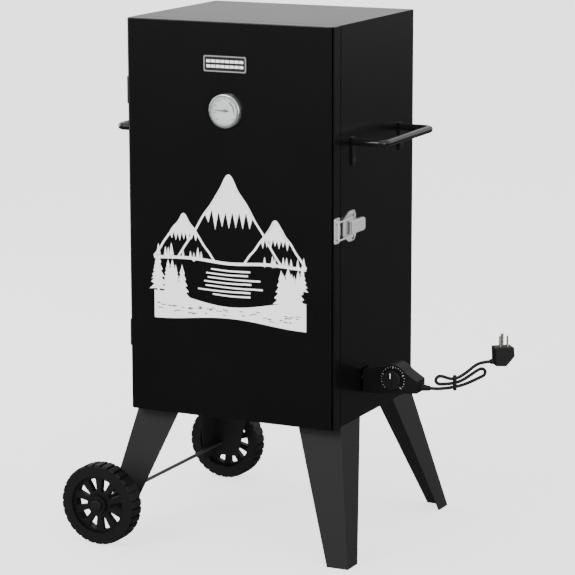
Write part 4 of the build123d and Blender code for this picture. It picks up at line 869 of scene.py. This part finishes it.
@dataclass
class DialMarks:
    """Ticks round a dial, long ones at every fifth."""

    name: str
    body: str
    inner: float
    outer: float
    first: float
    sweep: float
    count: int
    finish: Finish
    lift: float = 0.00008

    def build(self, centre: Vector) -> None:
        """Set the ticks out round a centre.

        Args:
            centre: the dial's middle, on the face that carries the ticks.
        """
        repeat = Repeater(Layout.ARC)
        for size, every, wide in (("long", 5, 0.9), ("short", 1, 0.4)):
            length = (self.outer - self.inner) * (1.0 if size == "long" else 0.5)
            tick = Relief(Vector((0.0, 0.0, 0.0)), height=self.lift)
            tick.shape([(-length / MM, -wide / 2), (0.0, -wide / 2), (0.0, wide / 2),
                        (-length / MM, wide / 2)])
            piece = repeat.piece(f"{self.name}_{size}", tick, self.finish,
                                 Count=(self.count - 1) // every + 1, Centre=centre,
                                 Radius=self.outer, First_Angle=math.radians(self.first),
                                 Sweep=math.radians(self.sweep))
            settle(piece, self.body, self.finish.slot)


@dataclass
class Thermometer:
    """The door's dial thermometer: the scale on its white face."""

    inner: float = 0.0165
    edge: float = 0.0016
    band: float = 0.002
    band_spans: int = 10
    band_start: float = 60.0
    band_sweep: float = -66.0

    def build(self) -> None:
        """Print the scale, and the band inside it that marks the smoking range."""
        low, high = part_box("thermometer_dial")
        face = front_of("thermometer_dial")
        radius = (high.x - low.x) / 2
        DialMarks("thermometer_scale", "door", self.inner, radius - self.edge, 225.0, -270.0,
                  41, MARK_BLACK).build(face)
        band = Relief(face, height=0.00006)
        outside, inside = self.inner / MM, (self.inner - self.band) / MM
        for part in range(self.band_spans):
            angles = [math.radians(self.band_start + self.band_sweep * (part + k)
                                   / self.band_spans) for k in (0, 1)]
            outline = [(inside * math.cos(a), inside * math.sin(a)) for a in angles]
            outline += [(outside * math.cos(a), outside * math.sin(a))
                        for a in reversed(angles)]
            band.shape(outline)
        settle(band.piece("thermometer_band", MARK_BLACK), "door", MARK_BLACK.slot)


@dataclass
class Controller:
    """Marks of the plug-in heat controller and its knob."""

    gap: float = 0.0022
    tick: float = 0.0034

    def build(self) -> None:
        """Print the ticks round the knob and the line on its grip."""
        knob_low, knob_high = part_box("controller_dial")
        face = middle_of("controller_dial")
        face.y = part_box("controller_front_shell")[0].y
        radius = (knob_high.x - knob_low.x) / 2
        DialMarks("controller_scale", "controller", radius + self.gap,
                  radius + self.gap + self.tick, 225.0, -270.0, 21, PRINT_WHITE).build(face)
        grip = Relief(front_of("controller_dial"), height=0.00015)
        reach = radius / MM - 4.2
        grip.shape([(-0.6, reach * 0.25), (0.6, reach * 0.25), (0.6, reach), (-0.6, reach)])
        settle(grip.piece("controller_dial_mark", PRINT_WHITE), "controller_dial",
               PRINT_WHITE.slot)


# ------------------------------------------------------------------ door gasket
@dataclass
class Gasket:
    """A knitted rope seal round the back of the door."""

    corner: float = 0.012
    width: float = 0.010
    half_wide: float = 0.0048
    slack: float = 0.0002
    spacing: float = 0.0035
    around: int = 14
    plait: float = 0.006
    swell: float = 0.06

    def path(self) -> list[tuple[Vector, Vector]]:
        """Points round the seal, each with its outward direction in the door's plane."""
        low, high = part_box("door_gasket")
        half_w = (high.x - low.x - self.width) / 2
        half_h = (high.z - low.z - self.width) / 2
        centre = (low + high) / 2
        line = []
        for quarter in range(4):
            sx = 1 if quarter in (0, 3) else -1
            sz = 1 if quarter < 2 else -1
            hub = centre + Vector((sx * (half_w - self.corner), 0.0,
                                   sz * (half_h - self.corner)))
            for step in range(9):
                angle = math.radians(90 * quarter + 11.25 * step)
                out = Vector((math.cos(angle), 0.0, math.sin(angle)))
                line.append((hub + out * self.corner, out))
        filled = []
        for k, (here, out) in enumerate(line):
            there = line[(k + 1) % len(line)][0]
            count = max(round((there - here).length / self.spacing), 1)
            filled += [(here.lerp(there, step / count), out) for step in range(count)]
        return filled

    def build(self) -> None:
        """Sweep the rope and lay its UV map."""
        low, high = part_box("door_gasket")
        deep = (high.y - low.y) / 2 - self.slack
        path = self.path()
        work = bmesh.new()
        rings = []
        for k, (centre, out) in enumerate(path):
            swell = 1.0 - self.swell * math.cos(2 * math.pi * k * self.spacing / self.plait)
            rings.append([work.verts.new(
                centre + out * (self.half_wide * swell * math.cos(a)) + Vector((0, 1, 0))
                * (deep * swell / (1 + self.swell) * math.sin(a)))
                for a in (2 * math.pi * n / self.around for n in range(self.around))])
        layer = work.loops.layers.uv.new("Rope")
        for k, ring in enumerate(rings):
            after = rings[(k + 1) % len(rings)]
            for n in range(self.around):
                m = (n + 1) % self.around
                face = work.faces.new((ring[n], ring[m], after[m], after[n]))
                face.smooth = True
                for loop, (u, v) in zip(face.loops, ((k, n), (k, n + 1), (k + 1, n + 1),
                                                     (k + 1, n))):
                    loop[layer].uv = (u * self.spacing / self.plait,
                                      v * 4.0 / self.around)
        bmesh.ops.recalc_face_normals(work, faces=work.faces)
        mesh = bpy.data.meshes.new("door_gasket_rope")
        work.to_mesh(mesh)
        work.free()
        mesh.materials.append(Braid().material())
        settle(linked("door_gasket_rope", mesh), "door", Braid().slot, ["door_gasket"])


# ------------------------------------------------------------------ mains cord
@dataclass
class MainsCord:
    """The controller's flexible cord, folded twice and tied, with the plug on its end."""

    length: float = 0.302
    diameter: float = 0.0055
    route: tuple[tuple[float, float, float], ...] = (
        (0, 0, 0), (0.009, 0, 0.0002), (0.018, 0.0055, 0), (0.030, 0.014, 0.0009),
        (0.042, 0.0235, 0.0029), (0.053, 0.0325, 0.0066), (0.0625, 0.040, 0.0114),
        (0.0705, 0.0465, 0.0158), (0.077, 0.0517, 0.0193), (0.0777, 0.0523, 0.0267),
        (0.073, 0.0485, 0.0313), (0.0665, 0.0433, 0.0278), (0.054, 0.0338, 0.0176),
        (0.044, 0.026, 0.0106), (0.033, 0.0176, 0.0079), (0.022, 0.0096, 0.0072),
        (0.013, 0.0034, 0.0076), (0.0094, 0.0006, 0.0142), (0.0126, 0.0034, 0.021),
        (0.020, 0.009, 0.0206), (0.029, 0.0156, 0.0154), (0.0385, 0.0228, 0.0158),
        (0.047, 0.0294, 0.021), (0.0555, 0.0362, 0.0284), (0.064, 0.043, 0.037),
        (0.0735, 0.0504, 0.0409), (0.0835, 0.058, 0.0414),
    )

    def build(self) -> None:
        """Lay the cord from the strain relief to the plug."""
        low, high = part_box("strain_relief")
        start = Vector((high.x, (low.y + high.y) / 2, (low.z + high.z) / 2))
        curve = bpy.data.curves.new("mains_cord", "CURVE")
        curve.dimensions = "3D"
        curve.bevel_depth = self.diameter / 2
        curve.bevel_resolution = 5
        curve.resolution_u = 14
        curve.use_fill_caps = True
        spline = curve.splines.new("NURBS")
        spline.points.add(len(self.route) - 1)
        for point, step in zip(spline.points, self.route):
            point.co = (*(start + Vector(step)), 1.0)
        spline.order_u = 3
        spline.use_endpoint_u = True
        curve.materials.append(RUBBER.material())
        piece = settle(linked("mains_cord", curve), "controller", RUBBER.slot, ["cord"])


# ------------------------------------------------------------------ studio
@dataclass
class Studio:
    """Camera, white surroundings, soft lights and a pale floor."""

    azimuth: float = 25.87
    elevation: float = 11.50
    roll: float = -0.119
    distance: float = 4.5405
    lens: float = 168.2
    aim: tuple[float, float, float] = (-0.014, 0.0, 0.55)
    across: float = 0.0258
    upward: float = -0.1335
    floor_half: float = 40.0

    def camera(self) -> None:
        """Stand the camera in front and to the right of the smoker."""
        a, e, r = (math.radians(v) for v in (self.azimuth, self.elevation, self.roll))
        back = Vector((math.sin(a) * math.cos(e), -math.cos(a) * math.cos(e), math.sin(e)))
        level = (-back).cross(Vector((0, 0, 1))).normalized()
        top = level.cross(-back)
        right = level * math.cos(r) + top * math.sin(r)
        up = top * math.cos(r) - level * math.sin(r)
        place = Vector(self.aim) + back * self.distance + right * self.across + up * self.upward
        data = bpy.data.cameras.new("camera")
        data.lens = self.lens
        data.sensor_width = 36.0
        data.clip_end = 200.0
        eye = linked("camera", data)
        turn = Matrix((right, up, back)).transposed().to_4x4()
        eye.matrix_world = Matrix.Translation(place) @ turn
        bpy.context.scene.camera = eye

    def surroundings(self) -> None:
        """Make the world white above the floor and dim below it."""
        world = bpy.data.worlds.new("surroundings")
        world.use_nodes = True
        bpy.context.scene.world = world
        nodes = Nodes(world.node_tree)
        way = nodes.add("ShaderNodeTexCoord", output="Generated")
        height = nodes.add("ShaderNodeSeparateXYZ", {}, {"Vector": way}, "Z")
        glow = nodes.add("ShaderNodeValToRGB", {"stops": ((0.44, 0.08), (0.53, 0.9),
                                                          (1.0, 1.0))},
                         {0: height * 0.5 + 0.5})
        sky = nodes.add("ShaderNodeBackground", {}, {"Color": glow, "Strength": 0.95})
        nodes.add("ShaderNodeOutputWorld", {}, {"Surface": sky})

    def floor(self) -> None:
        """Lay the floor."""
        half = self.floor_half
        mesh = bpy.data.meshes.new("floor")
        mesh.from_pydata([(-half, -half, 0), (half, -half, 0), (half, half, 0),
                          (-half, half, 0)], [], [(0, 1, 2, 3)])
        made = bpy.data.materials.new("floor")
        made.use_nodes = True
        nodes = Nodes(made.node_tree)
        place = nodes.add("ShaderNodeTexCoord", output="Object")
        cloud = nodes.add("ShaderNodeTexNoise", {}, {"Vector": place, "Scale": 3.0})
        shader = nodes.add("ShaderNodeBsdfPrincipled", {}, {
            "Base Color": nodes.mix(cloud, (0.78, 0.78, 0.78), (0.8, 0.8, 0.8)),
            "Roughness": 0.9, "Specular IOR Level": 0.1,
            "Emission Color": (1.0, 1.0, 1.0, 1.0), "Emission Strength": 1.7})
        nodes.add("ShaderNodeOutputMaterial", {}, {"Surface": shader})
        mesh.materials.append(made)
        ground = linked("floor", mesh)
        ground.visible_glossy = False

    def softbox(self, name: str, place: Sequence[float], target: Sequence[float],
                size: Point, watts: float) -> None:
        """Hang one area light.

        Args:
            name: the light's name.
            place: where it hangs.
            target: what it points at.
            size: its width and height.
            watts: its power.
        """
        data = bpy.data.lights.new(name, "AREA")
        data.shape = "RECTANGLE"
        data.size, data.size_y = size
        data.energy = watts
        lamp = linked(name, data)
        way = Vector(place) - Vector(target)
        lamp.matrix_world = (Matrix.Translation(Vector(place))
                             @ way.to_track_quat("Z", "Y").to_matrix().to_4x4())

    def build(self) -> None:
        """Set up the studio."""
        self.camera()
        self.surroundings()
        self.floor()
        self.softbox("key", (-1.3, -3.0, 2.6), (0, 0, 0.5), (1.4, 1.2), 42.0)
        self.softbox("left_strip", (-2.4, 0.3, 1.0), (0, 0, 0.5), (1.6, 1.9), 30.0)
        self.softbox("right_strip", (2.3, -1.5, 0.9), (0, 0, 0.4), (0.5, 1.7), 14.0)


def main() -> None:
    """Build every piece in order."""
    logging.basicConfig(level=logging.INFO, format="%(name)s: %(message)s")
    Studio().build()
    MainsCord().build()
    dress_nodes()
    Gasket().build()
    DoorPrint().build()
    NamePlate().build()
    Thermometer().build()
    Controller().build()


if __name__ == "__main__":
    main()
